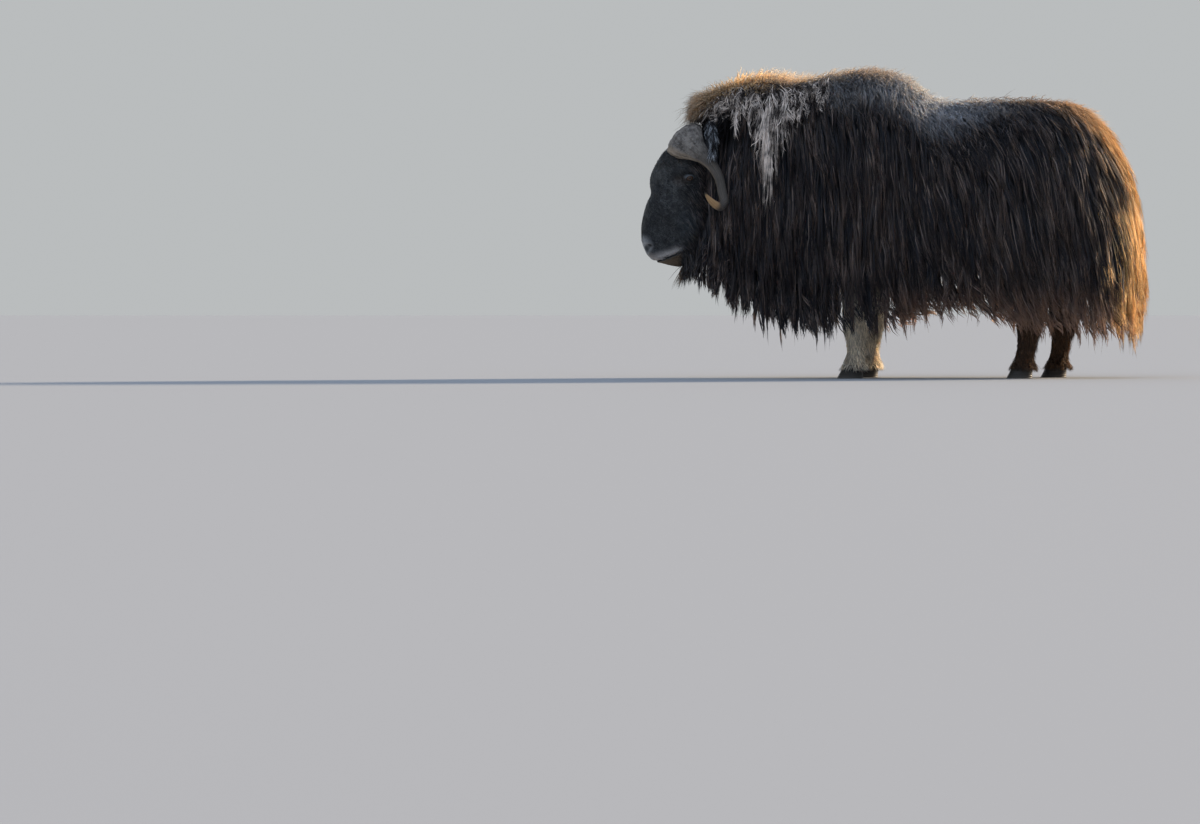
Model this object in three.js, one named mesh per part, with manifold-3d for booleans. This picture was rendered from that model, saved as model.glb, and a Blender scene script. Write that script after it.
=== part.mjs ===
// A bull muskox in its winter coat, life-size and standing still. Millimetres, +Z up.
// The head points towards -X and the animal's left side towards -Y. The hooves stand on Z = 0.

import * as THREE from "three";
import { mergeVertices } from "three/addons/utils/BufferGeometryUtils.js";
import Module from "manifold-3d";

const wasm = await Module();
wasm.setup();

// Sizes shared by all pieces
const GAP = 0.6; // pieces are cut back by this much where they meet
const MERGE = 1e-3; // vertices closer than this are one
const LOOK_AHEAD = 0.05; // share of a lock over which its direction is taken
const SIDES = { left: -1, right: 1 };

// Coat: one row per upright line of hair from the crest of the back down to the hem.
// The lines start over the brow and run round one side to the tail.
// [crest x, crest z, edge x, edge y, hem z]
const COAT_LINES = [
  [-868, 1316, -950, 0, 430],
  [-862, 1320, -936, 100, 420],
  [-835, 1345, -876, 172, 390],
  [-735, 1394, -765, 232, 300],
  [-576, 1419, -600, 306, 205],
  [-430, 1408, -430, 362, 150],
  [-257, 1440, -240, 396, 185],
  [-121, 1452, -90, 408, 190],
  [16, 1418, 40, 410, 190],
  [152, 1324, 190, 408, 262],
  [400, 1319, 440, 406, 235],
  [600, 1320, 690, 400, 175],
  [690, 1314, 920, 350, 150],
  [722, 1304, 1092, 205, 150],
  [732, 1300, 1154, 0, 155],
];
// Section of the coat: [share of the way down, share out to the edge, share of the height]
const COAT_SECTION = [
  [0, 0, 1],
  [0.084, 0.25, 0.978],
  [0.176, 0.48, 0.915],
  [0.28, 0.68, 0.82],
  [0.395, 0.83, 0.7],
  [0.52, 0.93, 0.56],
  [0.648, 0.98, 0.41],
  [0.777, 1, 0.26],
  [0.897, 0.985, 0.12],
  [1, 0.94, 0],
];
const CORE_TOP_DEPTH = 40; // the core lies this far under the tips along the back
const CORE_SIDE_DEPTH = 54; // and this far in on the flanks
const CORE_END = 0.88; // share of the way down at which the core turns under the belly
const CORE_COLUMNS = 44;
const CORE_ROWS = 8;
const CORE_ROW_SPREAD = 1.15; // over 1 the rows lie closer together along the back

// Locks in tiers from the crest down: root and tip as shares of the way down, how far either may
// shift, spacing, half width, how far the tips stand out, how soon a lock rises from the core,
// and its steps
const TIERS = [
  { root: 0.012, tip: 0.25, shift: 0.006, spacing: 110, width: 59, proud: 5, rise: 2.6, steps: 4 },
  { root: 0.15, tip: 0.52, shift: 0.065, spacing: 110, width: 57, proud: 5, rise: 1.7, steps: 4 },
  { root: 0.37, tip: 0.8, shift: 0.065, spacing: 110, width: 56, proud: 3, rise: 1.7, steps: 4 },
  { root: 0.62, tip: 1, shift: 0.05, spacing: 90, width: 53, proud: 0, rise: 1.7, steps: 3, blunt: 3 },
];
const MANE = { round: 0.1, proud: 62 }; // the locks over the brow stand out this far
const THROAT = { round: 0.062, root: 0.77 }; // under the jaw the locks start this low
// Beard: rows of locks that hang from the core under the throat, from the jaw back to the chest
const BEARD = {
  from: -872,
  to: -560,
  rows: 5,
  across: 3,
  spread: 74,
  drop: 150,
  longest: 215,
  width: 46,
  thickness: 16,
  back: 24,
  sink: 30,
  sway: 10,
  shift: 14,
  widening: 2, // the last row has this many locks more than the first
  steps: 3,
};
// The shape of a lock
const LOCK = {
  thickness: 9, // half the thickness at the root
  roll: 0.17, // each lock tips this much, so that its edge lies over the next
  wave: 16, // how far a lock sways to each side
  halfWaves: 1.4, // and how often from root to tip
  sweep: 30, // how far a lock leans towards the tail from root to tip
  sink: 18, // how far a root is sunk in the core
  uneven: 4, // how much the tips differ in how far they stand out
  neck: 0.6, // share of its breadth that a lock has at the root
  widening: 2, // how soon it reaches its full breadth
  taper: 0.85, // under 1 it keeps its breadth longer towards the tip
  thinning: 0.7, // the same for its thickness
  edges: 1.15, // a section with three sides is drawn this much broader
  roomAcross: 3, // a lock's room is widened by this many gaps, as its edges are sharp
  roomOut: 2.5,
};

// Cuts that part the coat: x at the height of the back, and the lean towards the tail
// for each millimetre down
const BACK_HEIGHT = 1300;
const CUTS = [
  { after: "neck", x: -505, lean: 0 },
  { after: "shoulders", x: 85, lean: 0.04 },
  { after: "barrel", x: 560, lean: 0.1 },
];
const LAST_COAT_NODE = "rump";

// Head from the poll down to the lips, one row per section square to its length:
// [share of the length, face x, face z, throat x, throat z, half width, narrowing at the throat]
const HEAD_SECTIONS = [
  [0, -940, 1128, -850, 1100, 62, 1],
  [0.08, -990, 1085, -800, 1040, 92, 1],
  [0.18, -1062, 1018, -775, 950, 106, 1],
  [0.29, -1100, 950, -765, 870, 112, 0.98],
  [0.38, -1113, 892, -775, 800, 112, 0.96],
  [0.48, -1128, 828, -800, 730, 107, 0.94],
  [0.6, -1148, 752, -835, 665, 100, 0.88],
  [0.71, -1160, 690, -870, 615, 93, 0.82],
  [0.81, -1161, 638, -905, 572, 86, 0.8],
  [0.9, -1150, 590, -940, 535, 76, 0.8],
  [0.96, -1128, 553, -965, 515, 60, 0.84],
  [1, -1095, 530, -990, 508, 40, 0.9],
];
const HEAD_SIDES = 18;
const HEAD_STEPS = 15;
const HEAD_ROUNDNESS = 0.86; // under 1 the sections are fuller than an ellipse
// Line of the mouth, and on to the back of the jaw: [x, z, half the height of the cut]
const MOUTH_LINE = [
  [-1210, 512, 2.4],
  [-1105, 533, 2.4],
  [-1030, 554, 2],
  [-972, 590, 1.2],
  [-920, 632, 0.3],
  [-860, 650, 0.3],
  [-740, 655, 0.3],
];
const MOUTH_WIDTH = 300;
// Lips along one side of the mouth: [x, y, z, half height, half thickness]
const LIPS = [
  [-1130, 0, 542, 12, 8],
  [-1117, 36, 543, 12, 9],
  [-1080, 58, 550, 12, 9],
  [-1032, 68, 566, 10, 8],
  [-984, 68, 590, 4, 4],
];
const NOSTRIL = { at: [-1133, 46, 594], radii: [22, 9, 19], turn: [0.25, 0.5, -0.75] };
const NOSE_WING = { at: [-1110, 30, 600], radii: [46, 36, 36] };
const EYE = { at: [-941, 110, 908], radius: 20 };
const ORBIT = { at: [-938, 90, 908], radii: [56, 31, 44] };
const LIDS = { out: 119, radius: 18, tube: 6, wide: 1.2, high: 0.74 };

// Ear: root and tip on the left, mirrored for the right
const EAR = {
  root: [-862, 80, 1160],
  tip: [-838, 204, 1006],
  facing: [-0.7, 0.45, 0.1],
  width: 38,
  thickness: 20,
  cup: 0.72, // share of the ear that the cup takes
  cupDepth: 0.75, // share of the thickness that the cup lies forward of the middle
};

// Horn from the middle of the brow to the tip:
// [x, y, z, half the breadth along the brow, half the thickness]
const HORN = [
  [-966, 3, 1080, 74, 36],
  [-966, 20, 1080, 92, 48],
  [-962, 58, 1080, 96, 50],
  [-945, 106, 1062, 82, 43],
  [-908, 142, 1030, 50, 34],
  [-872, 162, 1000, 33, 27],
  [-834, 178, 956, 25, 23],
  [-809, 191, 908, 22, 21],
  [-795, 206, 846, 21, 20],
  [-787, 228, 798, 20, 19],
  [-803, 251, 779, 18, 17],
  [-832, 275, 792, 14, 14],
  [-858, 294, 818, 8, 8],
  [-876, 308, 842, 1, 1],
];
const HORN_PARTING = 4; // half the groove between the two bosses
const BROW_SLOPE = new THREE.Vector3(0.7, 0, 0.71); // the breadth of the boss lies along this
const HORN_SIDES = 10;
const HORN_STEPS = 18;

// Hooves: two claws to a foot
const CLAW = {
  length: 116,
  width: 50,
  height: 61,
  cleft: 6, // between the two claws
  forward: 14, // how far the toe reaches ahead of the leg
  top: 0.78, // size at the top, for a size of 1 at the sole
  flat: 0.35, // how much of the half-round is cut off flat on the inner side
  sides: 12,
};

// Legs: [height, shift towards the tail, half length, half width]
const ANKLE = CLAW.height + GAP;
const FRONT_LEG = [
  [ANKLE, -6, 44, 42],
  [85, -3, 41, 39],
  [120, 0, 36, 33],
  [165, 0, 40, 35],
  [225, 0, 54, 46],
  [300, 4, 62, 56],
  [400, 6, 76, 66],
  [520, 6, 88, 70],
];
const HIND_LEG = [
  [ANKLE, -6, 44, 42],
  [85, -2, 41, 39],
  [120, 4, 38, 34],
  [170, 12, 42, 36],
  [240, 20, 56, 44],
  [320, 24, 74, 54],
  [420, 8, 100, 66],
  [540, -10, 120, 72],
];
// Where each leg stands, on the side that its name ends with
const LEGS = [
  { name: "front_leg_left", x: -193, y: -148, rows: FRONT_LEG },
  { name: "front_leg_right", x: -118, y: 148, rows: FRONT_LEG },
  { name: "hind_leg_left", x: 575, y: -160, rows: HIND_LEG },
  { name: "hind_leg_right", x: 742, y: 160, rows: HIND_LEG },
];
const LEG_SIDES = 12;
const LEG_STEPS = 7;
const LEG_STEP_SPREAD = 0.8; // under 1 the steps lie closer together towards the foot

// Tail: a short tuft of locks in the middle of the rump
const TAIL = {
  root: 0.3,
  tip: 0.47,
  shortening: 0.012, // each lock is this much shorter than the last
  locks: 5,
  width: 30,
  spread: 0.016,
  proud: 12,
  rise: 1.4,
  steps: 4,
};

// Materials
const finishes = {
  coat: { color: 0x2a2320, roughness: 0.85 },
  face: { color: 0x1d1b1b, roughness: 0.8 },
  leg: { color: 0x8b7e69, roughness: 0.8 },
  horn: { color: 0x6b6258, roughness: 0.55 },
  hoof: { color: 0x23201e, roughness: 0.5 },
  eye: { color: 0x120c08, roughness: 0.08 },
};
for (const name of Object.keys(finishes)) {
  finishes[name] = new THREE.MeshStandardMaterial({ ...finishes[name], metalness: 0, name });
}

const { lerp, clamp } = THREE.MathUtils;
const point = (x, y, z) => new THREE.Vector3(x, y, z);
const onSide = (at, side) => point(at[0], side * at[1], at[2]);

// A seeded draw, so that every run grows the same coat
function dice(seed) {
  let state = seed;
  return (low, high) => {
    state = (Math.imul(state, 1664525) + 1013904223) >>> 0;
    return low + ((high - low) * state) / 2 ** 32;
  };
}

// A smooth function through rows of [position, value, value, ...]
function smooth(rows) {
  const width = rows[0].length - 1;
  const positions = rows.map((row) => row[0]);
  const values = rows.flatMap((row) => row.slice(1));
  const curve = new THREE.CubicInterpolant(positions, values, width, new Float64Array(width));
  return (position) => [...curve.evaluate(clamp(position, positions[0], positions.at(-1)))];
}

// The same through rows that have no position: each gets its share of the length walked
function smoothAlong(rows, span) {
  const walked = [0];
  for (let i = 1; i < rows.length; i += 1) walked.push(walked[i - 1] + span(rows[i - 1], rows[i]));
  const length = walked.at(-1);
  return { length, curve: smooth(rows.map((row, i) => [walked[i] / length, ...row])) };
}

// Solids

// A closed solid from a geometry, facing out even where it was mirrored
function solid(geometry) {
  geometry.deleteAttribute("normal");
  geometry.deleteAttribute("uv");
  const merged = mergeVertices(geometry, MERGE);
  const corners = merged.index.array;
  const build = (flip) => {
    const triangles = [];
    for (let i = 0; i < corners.length; i += 3) {
      const [a, b, c] = [corners[i], corners[i + 1], corners[i + 2]];
      if (a === b || b === c || c === a) continue;
      triangles.push(...(flip ? [a, c, b] : [a, b, c]));
    }
    const mesh = new wasm.Mesh({
      numProp: 3,
      vertProperties: merged.attributes.position.array,
      triVerts: new Uint32Array(triangles),
    });
    return new wasm.Manifold(mesh);
  };
  const made = build(false);
  return made.volume() < 0 ? build(true) : made;
}

// A geometry from a solid
function surface(made) {
  const { vertProperties, triVerts, numProp, numVert } = made.getMesh();
  const places = new Float32Array(numVert * 3);
  for (let i = 0; i < numVert; i += 1) {
    places.set(vertProperties.subarray(i * numProp, i * numProp + 3), i * 3);
  }
  return new THREE.BufferGeometry()
    .setAttribute("position", new THREE.BufferAttribute(places, 3))
    .setIndex(new THREE.BufferAttribute(triVerts, 1));
}

// The same solid with its surface moved out by the gap that neighbours keep
function grown(made) {
  const geometry = surface(made);
  geometry.computeVertexNormals();
  const { position, normal } = geometry.attributes;
  for (let i = 0; i < position.count; i += 1) {
    const place = new THREE.Vector3().fromBufferAttribute(position, i);
    place.addScaledVector(new THREE.Vector3().fromBufferAttribute(normal, i), GAP);
    position.setXYZ(i, place.x, place.y, place.z);
  }
  return solid(geometry);
}

// A cylinder whose every vertex is put in place by its share of the length, its angle and its radius
function loft(sides, steps, place, open = false) {
  const geometry = new THREE.CylinderGeometry(1, 1, 1, sides, steps, open);
  const vertices = geometry.attributes.position;
  for (let i = 0; i < vertices.count; i += 1) {
    const x = vertices.getX(i);
    const z = vertices.getZ(i);
    const placed = place(0.5 - vertices.getY(i), Math.atan2(x, z), Math.hypot(x, z));
    vertices.setXYZ(i, placed.x, placed.y, placed.z);
  }
  return solid(geometry);
}

// A bent rod through rows of [x, y, z, half breadth, half thickness]; the breadth lies along a direction
function rod(rows, breadthAlong, sides, steps) {
  const { curve } = smoothAlong(rows, (a, b) => Math.hypot(b[0] - a[0], b[1] - a[1], b[2] - a[2]));
  const step = 0.01;
  return loft(sides, steps, (share, angle, radius) => {
    const [x, y, z, breadth, thickness] = curve(share);
    const [from, to] = [share - step, share + step].map((at) => point(...curve(at).slice(0, 3)));
    const ahead = to.sub(from).normalize();
    const along = breadthAlong.clone().addScaledVector(ahead, -breadthAlong.dot(ahead)).normalize();
    const across = ahead.clone().cross(along);
    return point(x, y, z)
      .addScaledVector(along, radius * breadth * Math.cos(angle))
      .addScaledVector(across, radius * thickness * Math.sin(angle));
  });
}

// A ball stretched to three radii, turned and set at a point
function ball(centre, radii, turn = [0, 0, 0], sides = 10) {
  const geometry = new THREE.SphereGeometry(1, sides, Math.round(sides * 0.67));
  geometry.scale(...radii);
  geometry.applyMatrix4(new THREE.Matrix4().makeRotationFromEuler(new THREE.Euler(...turn)));
  geometry.translate(centre.x, centre.y, centre.z);
  return solid(geometry);
}

const joined = (solids) => wasm.Manifold.union(solids);
const joinedGrown = (solids) => joined(solids.map(grown));

// The piece with the most volume, without loose scraps
function largest(made) {
  return made.decompose().reduce((a, b) => (a.volume() > b.volume() ? a : b));
}

// Coat surface

const { length: girth, curve: coatLine } = smoothAlong(COAT_LINES, (a, b) =>
  Math.hypot(b[2] - a[2], b[3] - a[3]),
);
const coatSection = smooth(COAT_SECTION);

// A point of the coat: share of the way round from brow to tail, share of the way down, side,
// and how far it lies under the tips, from 0 there to 1 on the core
function coatPoint(round, down, side, depth) {
  const [crestX, crestZ, edgeX, edgeY, hem] = coatLine(round);
  const [out, up] = coatSection(down);
  const reach = Math.hypot(edgeX - crestX, edgeY);
  const share = (out * (reach - CORE_SIDE_DEPTH * depth)) / reach;
  const z = lerp(hem, crestZ - CORE_TOP_DEPTH * depth, up);
  return point(lerp(crestX, edgeX, share), side * edgeY * share, z);
}

// The way out of the coat at a point
function coatNormal(round, down, side) {
  const step = 0.004;
  const at = clamp(round, step, 1 - step);
  const low = clamp(down, step, 1 - step);
  const along = coatPoint(at + step, low, side, 0).sub(coatPoint(at - step, low, side, 0));
  const fall = coatPoint(at, low + step, side, 0).sub(coatPoint(at, low - step, side, 0));
  return fall.cross(along).normalize().multiplyScalar(-side);
}

// The core of the coat: it follows the coat down to CORE_END and closes under the belly
function coatCore() {
  return loft(
    CORE_COLUMNS,
    CORE_ROWS + 1,
    (share, angle) => {
      const row = Math.round(share * (CORE_ROWS + 1));
      const round = Math.abs(angle) / Math.PI;
      const side = Math.sign(angle) || 1;
      const down = (row / CORE_ROWS) ** CORE_ROW_SPREAD * CORE_END;
      if (row <= CORE_ROWS) return coatPoint(round, down, side, 1);
      return point(coatLine(round)[0], 0, coatPoint(round, CORE_END, side, 1).z);
    },
    true,
  );
}

// Height of the core's underside in the middle, over a place along the neck
function coreBottom(x) {
  const step = 0.005;
  let round = 0;
  while (coatLine(round)[0] < x && round < 0.5) round += step;
  return coatPoint(round, CORE_END, 1, 1).z;
}

// A flat tapered lock: its keel faces out, and its root is sunk in the core.
// The room is what it is made larger by on every side.
function lock({ round, root, tip, side, width, proud, rise, steps, blunt = 2, room = 0 }, random) {
  const sweep = LOCK.sweep / girth;
  const wave = (random(-1, 1) * LOCK.wave) / girth;
  const phase = random(0, Math.PI);
  const roll = LOCK.roll * random(0.8, 1.2) * side;
  const stand = random(-LOCK.uneven, LOCK.uneven) + proud;
  const half = width * random(0.85, 1.12);
  const centre = (t) => {
    const at = round + sweep * t + wave * Math.sin(phase + t * Math.PI * LOCK.halfWaves) * t;
    const down = lerp(root, tip, t);
    const lift = t > 0 ? stand * t : -LOCK.sink;
    return coatPoint(at, down, side, (1 - t) ** rise).addScaledVector(coatNormal(at, down, side), lift);
  };
  return loft(3, steps, (t, angle, radius) => {
    const out = coatNormal(round, lerp(root, tip, t), side);
    const [before, after] = [Math.max(0, t - LOOK_AHEAD), Math.min(1, t + LOOK_AHEAD)];
    const ahead = centre(after).sub(centre(before)).normalize();
    const across = ahead.clone().cross(out).normalize();
    const outward = across.clone().cross(ahead).normalize();
    across.applyAxisAngle(ahead, roll);
    outward.applyAxisAngle(ahead, roll);
    const full = Math.min(1, LOCK.neck + LOCK.widening * t) * Math.max(0, 1 - t ** blunt) ** LOCK.taper;
    const breadth = (half * full + LOCK.roomAcross * room) * LOCK.edges;
    const thickness = LOCK.thickness * Math.max(0, 1 - t ** 3) ** LOCK.thinning + LOCK.roomOut * room;
    return centre(t)
      .addScaledVector(across, radius * breadth * Math.sin(angle))
      .addScaledVector(outward, radius * thickness * Math.cos(angle));
  });
}

// Where the locks of a tier are rooted round one side, evenly but not in step
function rootsOf(tier, side, random) {
  const found = [];
  const middle = lerp(tier.root, tier.tip, 0.4);
  const steps = 400;
  let walked = tier.spacing * random(0.1, 0.9);
  let last = coatPoint(0, middle, side, 0);
  for (let i = 1; i <= steps; i += 1) {
    const here = coatPoint(i / steps, middle, side, 0);
    walked += here.distanceTo(last);
    last = here;
    if (walked < tier.spacing) continue;
    walked = random(-0.14, 0.14) * tier.spacing;
    found.push(i / steps);
  }
  return found;
}

function coatLocks() {
  const locks = [];
  for (const [name, side] of Object.entries(SIDES)) {
    const random = dice(name.length * 77);
    TIERS.forEach((tier, level) => {
      const last = level === TIERS.length - 1;
      for (const round of rootsOf(tier, side, random)) {
        const underHead = round < THROAT.round;
        if (underHead && level > 0 && !last) continue;
        const shift = random(-tier.shift, tier.shift);
        const root = underHead && last ? THROAT.root : tier.root + shift;
        const tip = Math.min(1, tier.tip + (last ? 0 : shift) - random(0, 0.06));
        const proud = tier.proud + (level === 0 ? MANE.proud * Math.max(0, 1 - round / MANE.round) : 0);
        locks.push(lock({ ...tier, round, side, root, tip, proud }, random));
      }
    });
  }
  return locks;
}

// Locks that hang under the throat
function beardLocks() {
  const random = dice(5);
  const locks = [];
  for (let row = 0; row < BEARD.rows; row += 1) {
    const share = row / (BEARD.rows - 1);
    const x = lerp(BEARD.from, BEARD.to, share);
    const count = BEARD.across + Math.round(share * BEARD.widening);
    for (let i = 0; i < count; i += 1) {
      const y = (i - (count - 1) / 2 + random(-0.15, 0.15)) * BEARD.spread;
      const reach = BEARD.sink + lerp(BEARD.drop, BEARD.longest, share) * random(0.8, 1.05);
      const bottom = coreBottom(x + random(-BEARD.shift, BEARD.shift));
      const sway = random(-BEARD.sway, BEARD.sway);
      locks.push(
        loft(3, BEARD.steps, (t, angle, radius) => {
          const full = radius * (1 - t ** 2) ** LOCK.taper;
          const back = BEARD.back * t ** 2 - BEARD.thickness * full * Math.cos(angle);
          const across = BEARD.width * full * Math.sin(angle) * LOCK.edges + sway * t;
          return point(x + back, y + across, bottom + BEARD.sink - reach * t);
        }),
      );
    }
  }
  return locks;
}

// Head

function headShape() {
  const curve = smooth(HEAD_SECTIONS);
  const full = (value) => Math.sign(value) * Math.abs(value) ** HEAD_ROUNDNESS;
  return loft(HEAD_SIDES, HEAD_STEPS, (share, angle, radius) => {
    const [faceX, faceZ, throatX, throatZ, halfWidth, narrowing] = curve(share);
    const back = 0.5 + 0.5 * radius * full(-Math.cos(angle));
    const width = halfWidth * lerp(1, narrowing, back) * radius * full(Math.sin(angle));
    return point(lerp(faceX, throatX, back), width, lerp(faceZ, throatZ, back));
  });
}

// Upper and lower lid as one ring, flattened round the eye
function lids(side) {
  const geometry = new THREE.TorusGeometry(LIDS.radius, LIDS.tube, 5, 12);
  geometry.rotateX(Math.PI / 2);
  geometry.scale(LIDS.wide, 1, LIDS.high);
  geometry.translate(EYE.at[0], side * LIDS.out, EYE.at[2]);
  return solid(geometry);
}

function lips(side) {
  const rows = LIPS.map(([x, y, z, high, thick]) => [x, side * y, z, high, thick]);
  return rod(rows, point(0, 0, 1), 5, 6);
}

// The cut of the mouth, from the lips to behind the jaw
function mouthCut() {
  const upper = MOUTH_LINE.map(([x, z, half]) => new THREE.Vector2(x, z + half));
  const lower = MOUTH_LINE.map(([x, z, half]) => new THREE.Vector2(x, z - half)).reverse();
  const outline = new THREE.Shape([...upper, ...lower]);
  const geometry = new THREE.ExtrudeGeometry(outline, { depth: MOUTH_WIDTH, bevelEnabled: false });
  geometry.rotateX(Math.PI / 2);
  geometry.translate(0, MOUTH_WIDTH / 2, 0);
  return solid(geometry);
}

function headSolids() {
  const made = [headShape()];
  for (const side of Object.values(SIDES)) {
    made.push(ball(onSide(ORBIT.at, side), ORBIT.radii));
    made.push(ball(onSide(NOSE_WING.at, side), NOSE_WING.radii));
    made.push(lids(side), lips(side));
  }
  return made;
}

function nostril(side) {
  const [x, y, z] = NOSTRIL.turn;
  return ball(onSide(NOSTRIL.at, side), NOSTRIL.radii, [side * x, y, side * z], 9);
}

const eyeball = (side) => ball(onSide(EYE.at, side), [EYE.radius, EYE.radius, EYE.radius], [0, 0, 0], 10);

function horn(side) {
  const rows = HORN.map(([x, y, z, breadth, thickness]) => [x, side * y, z, breadth, thickness]);
  const whole = rod(rows, BROW_SLOPE, HORN_SIDES, HORN_STEPS);
  return { made: whole.trimByPlane([0, side, 0], HORN_PARTING), room: grown(whole) };
}

// An ear: a long ball hollowed to a cup that faces forward and out
function ear(side) {
  const [root, tip] = [onSide(EAR.root, side), onSide(EAR.tip, side)];
  const along = tip.clone().sub(root);
  const half = along.length() / 2;
  along.normalize();
  const facing = onSide(EAR.facing, side);
  facing.addScaledVector(along, -facing.dot(along)).normalize();
  const frame = new THREE.Matrix4().makeBasis(along, along.clone().cross(facing), facing);
  const turn = new THREE.Euler().setFromRotationMatrix(frame).toArray().slice(0, 3);
  const middle = root.clone().lerp(tip, 0.5);
  const outer = ball(middle, [half, EAR.width, EAR.thickness], turn);
  const hollow = ball(
    middle.clone().addScaledVector(facing, EAR.thickness * EAR.cupDepth),
    [half * EAR.cup, EAR.width * EAR.cup, EAR.thickness],
    turn,
  );
  return { made: outer.subtract(hollow), room: grown(outer) };
}

// Legs and hooves

function leg({ x, y, rows }) {
  const curve = smooth(rows);
  const [low, high] = [rows[0][0], rows.at(-1)[0]];
  return loft(LEG_SIDES, LEG_STEPS, (share, angle, radius) => {
    const height = lerp(high, low, share ** LEG_STEP_SPREAD);
    const [shift, length, width] = curve(height);
    const along = shift + radius * length * Math.cos(angle);
    return point(x + along, y + radius * width * Math.sin(angle), height);
  });
}

// One claw: a half-round toe with a flat sole and a flat inner side
function claw({ x, y }, inner) {
  const { length, width, height, cleft, forward, top, flat, sides } = CLAW;
  return loft(sides, 2, (share, angle, radius) => {
    const size = lerp(top, 1, share);
    const out = Math.max(-flat, Math.sin(angle)) * radius;
    const across = (cleft / 2 + ((out + flat) / (1 + flat)) * width) * size;
    const along = radius * Math.cos(angle) * (length / 2) * size;
    return point(x - forward * (0.4 + share) - along, y + inner * across, height * (1 - share));
  });
}

// Tail: locks that grow from one spot and lie over one another
function tail(room) {
  const random = dice(31);
  const made = [];
  for (let i = 0; i < TAIL.locks; i += 1) {
    const side = i % 2 ? 1 : -1;
    const round = 1 - TAIL.spread * (0.3 + i / TAIL.locks) - LOCK.sweep / girth;
    made.push(lock({ ...TAIL, round, side, tip: TAIL.tip - TAIL.shortening * i, room }, random));
  }
  return joined(made);
}

// Whole animal: each piece is cut back by the room of what it grows from, and the coat by all of them

const muskox = new THREE.Group();

function add(name, made, finish) {
  const mesh = new THREE.Mesh(surface(made), finish);
  mesh.name = name;
  muskox.add(mesh);
}

const core = coatCore();
const coreRoom = grown(core);
const headParts = headSolids();
const headRoom = joinedGrown(headParts);
const horns = Object.values(SIDES).map(horn);
const ears = Object.values(SIDES).map(ear);
const legs = LEGS.map(leg);

// Head and lower jaw, parted by the line of the mouth
const cuts = [coreRoom, mouthCut(), ...horns.map((each) => each.room)];
for (const side of Object.values(SIDES)) cuts.push(nostril(side), grown(eyeball(side)));
const [head, jaw] = joined(headParts)
  .subtract(joined(cuts))
  .decompose()
  .sort((a, b) => b.volume() - a.volume());
add("head", head, finishes.face);
add("lower_jaw", jaw, finishes.face);

Object.entries(SIDES).forEach(([name, side], i) => {
  add(`eye_${name}`, eyeball(side), finishes.eye);
  add(`horn_${name}`, horns[i].made, finishes.horn);
  const taken = joined([coreRoom, headRoom, horns[i].room]);
  add(`ear_${name}`, largest(ears[i].made.subtract(taken)), finishes.face);
});

LEGS.forEach((place, i) => {
  add(place.name, largest(legs[i].subtract(coreRoom)), finishes.leg);
  const foot = place.name.replace("leg", "hoof");
  add(`${foot}_inner`, claw(place, -Math.sign(place.y)), finishes.hoof);
  add(`${foot}_outer`, claw(place, Math.sign(place.y)), finishes.hoof);
});
add("tail", largest(tail(0).subtract(coreRoom)), finishes.coat);

// The coat, cleared round all that comes out of it, then parted by the cuts
const hornRoom = joined(horns.map((each) => each.room));
const earRoom = joined(ears.map((each) => each.room));
const clearance = joined([headRoom, hornRoom, earRoom, joinedGrown(legs), tail(GAP)]);
const locks = joined([...coatLocks(), ...beardLocks()]).subtract(clearance);
let coat = largest(joined([core.subtract(hornRoom), locks]));
for (const { after, x, lean } of CUTS) {
  const length = Math.hypot(1, lean);
  const forward = new THREE.Vector3(-1, 0, -lean).divideScalar(length);
  const place = forward.dot(point(x, 0, BACK_HEIGHT));
  add(after, largest(coat.trimByPlane(forward.toArray(), place + GAP / 2)), finishes.coat);
  coat = coat.trimByPlane(forward.negate().toArray(), GAP / 2 - place);
}
add(LAST_COAT_NODE, largest(coat), finishes.coat);

export default muskox;
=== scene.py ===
import math

import bpy
import numpy as np
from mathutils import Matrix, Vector


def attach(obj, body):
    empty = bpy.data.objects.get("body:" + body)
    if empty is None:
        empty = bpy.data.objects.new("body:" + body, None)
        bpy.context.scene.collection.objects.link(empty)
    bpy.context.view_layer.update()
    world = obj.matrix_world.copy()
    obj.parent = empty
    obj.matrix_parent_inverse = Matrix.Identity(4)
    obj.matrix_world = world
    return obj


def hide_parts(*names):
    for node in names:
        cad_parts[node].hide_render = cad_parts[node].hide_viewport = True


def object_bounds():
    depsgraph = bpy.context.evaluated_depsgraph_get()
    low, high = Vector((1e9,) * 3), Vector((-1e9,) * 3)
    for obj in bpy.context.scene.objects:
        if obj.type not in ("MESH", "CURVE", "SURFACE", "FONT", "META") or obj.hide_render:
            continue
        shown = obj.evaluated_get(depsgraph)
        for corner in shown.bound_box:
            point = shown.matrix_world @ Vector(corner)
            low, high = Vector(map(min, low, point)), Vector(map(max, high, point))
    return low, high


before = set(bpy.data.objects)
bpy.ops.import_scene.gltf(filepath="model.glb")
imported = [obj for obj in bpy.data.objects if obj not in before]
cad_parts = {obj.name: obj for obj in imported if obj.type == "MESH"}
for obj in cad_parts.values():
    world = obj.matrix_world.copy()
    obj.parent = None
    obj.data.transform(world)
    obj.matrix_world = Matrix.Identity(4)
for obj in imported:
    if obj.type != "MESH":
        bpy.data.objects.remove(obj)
cad_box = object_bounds()
bpy.ops.object.select_all(action="DESELECT")

# Sizes and places are in millimetres, as on the maker's bench, and become metres when a mesh is placed.
# The head points towards -X, the left side towards -Y, and the hooves stand on Z = 0.
MM = 0.001
SIDES = {"left": -1, "right": 1}

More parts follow.
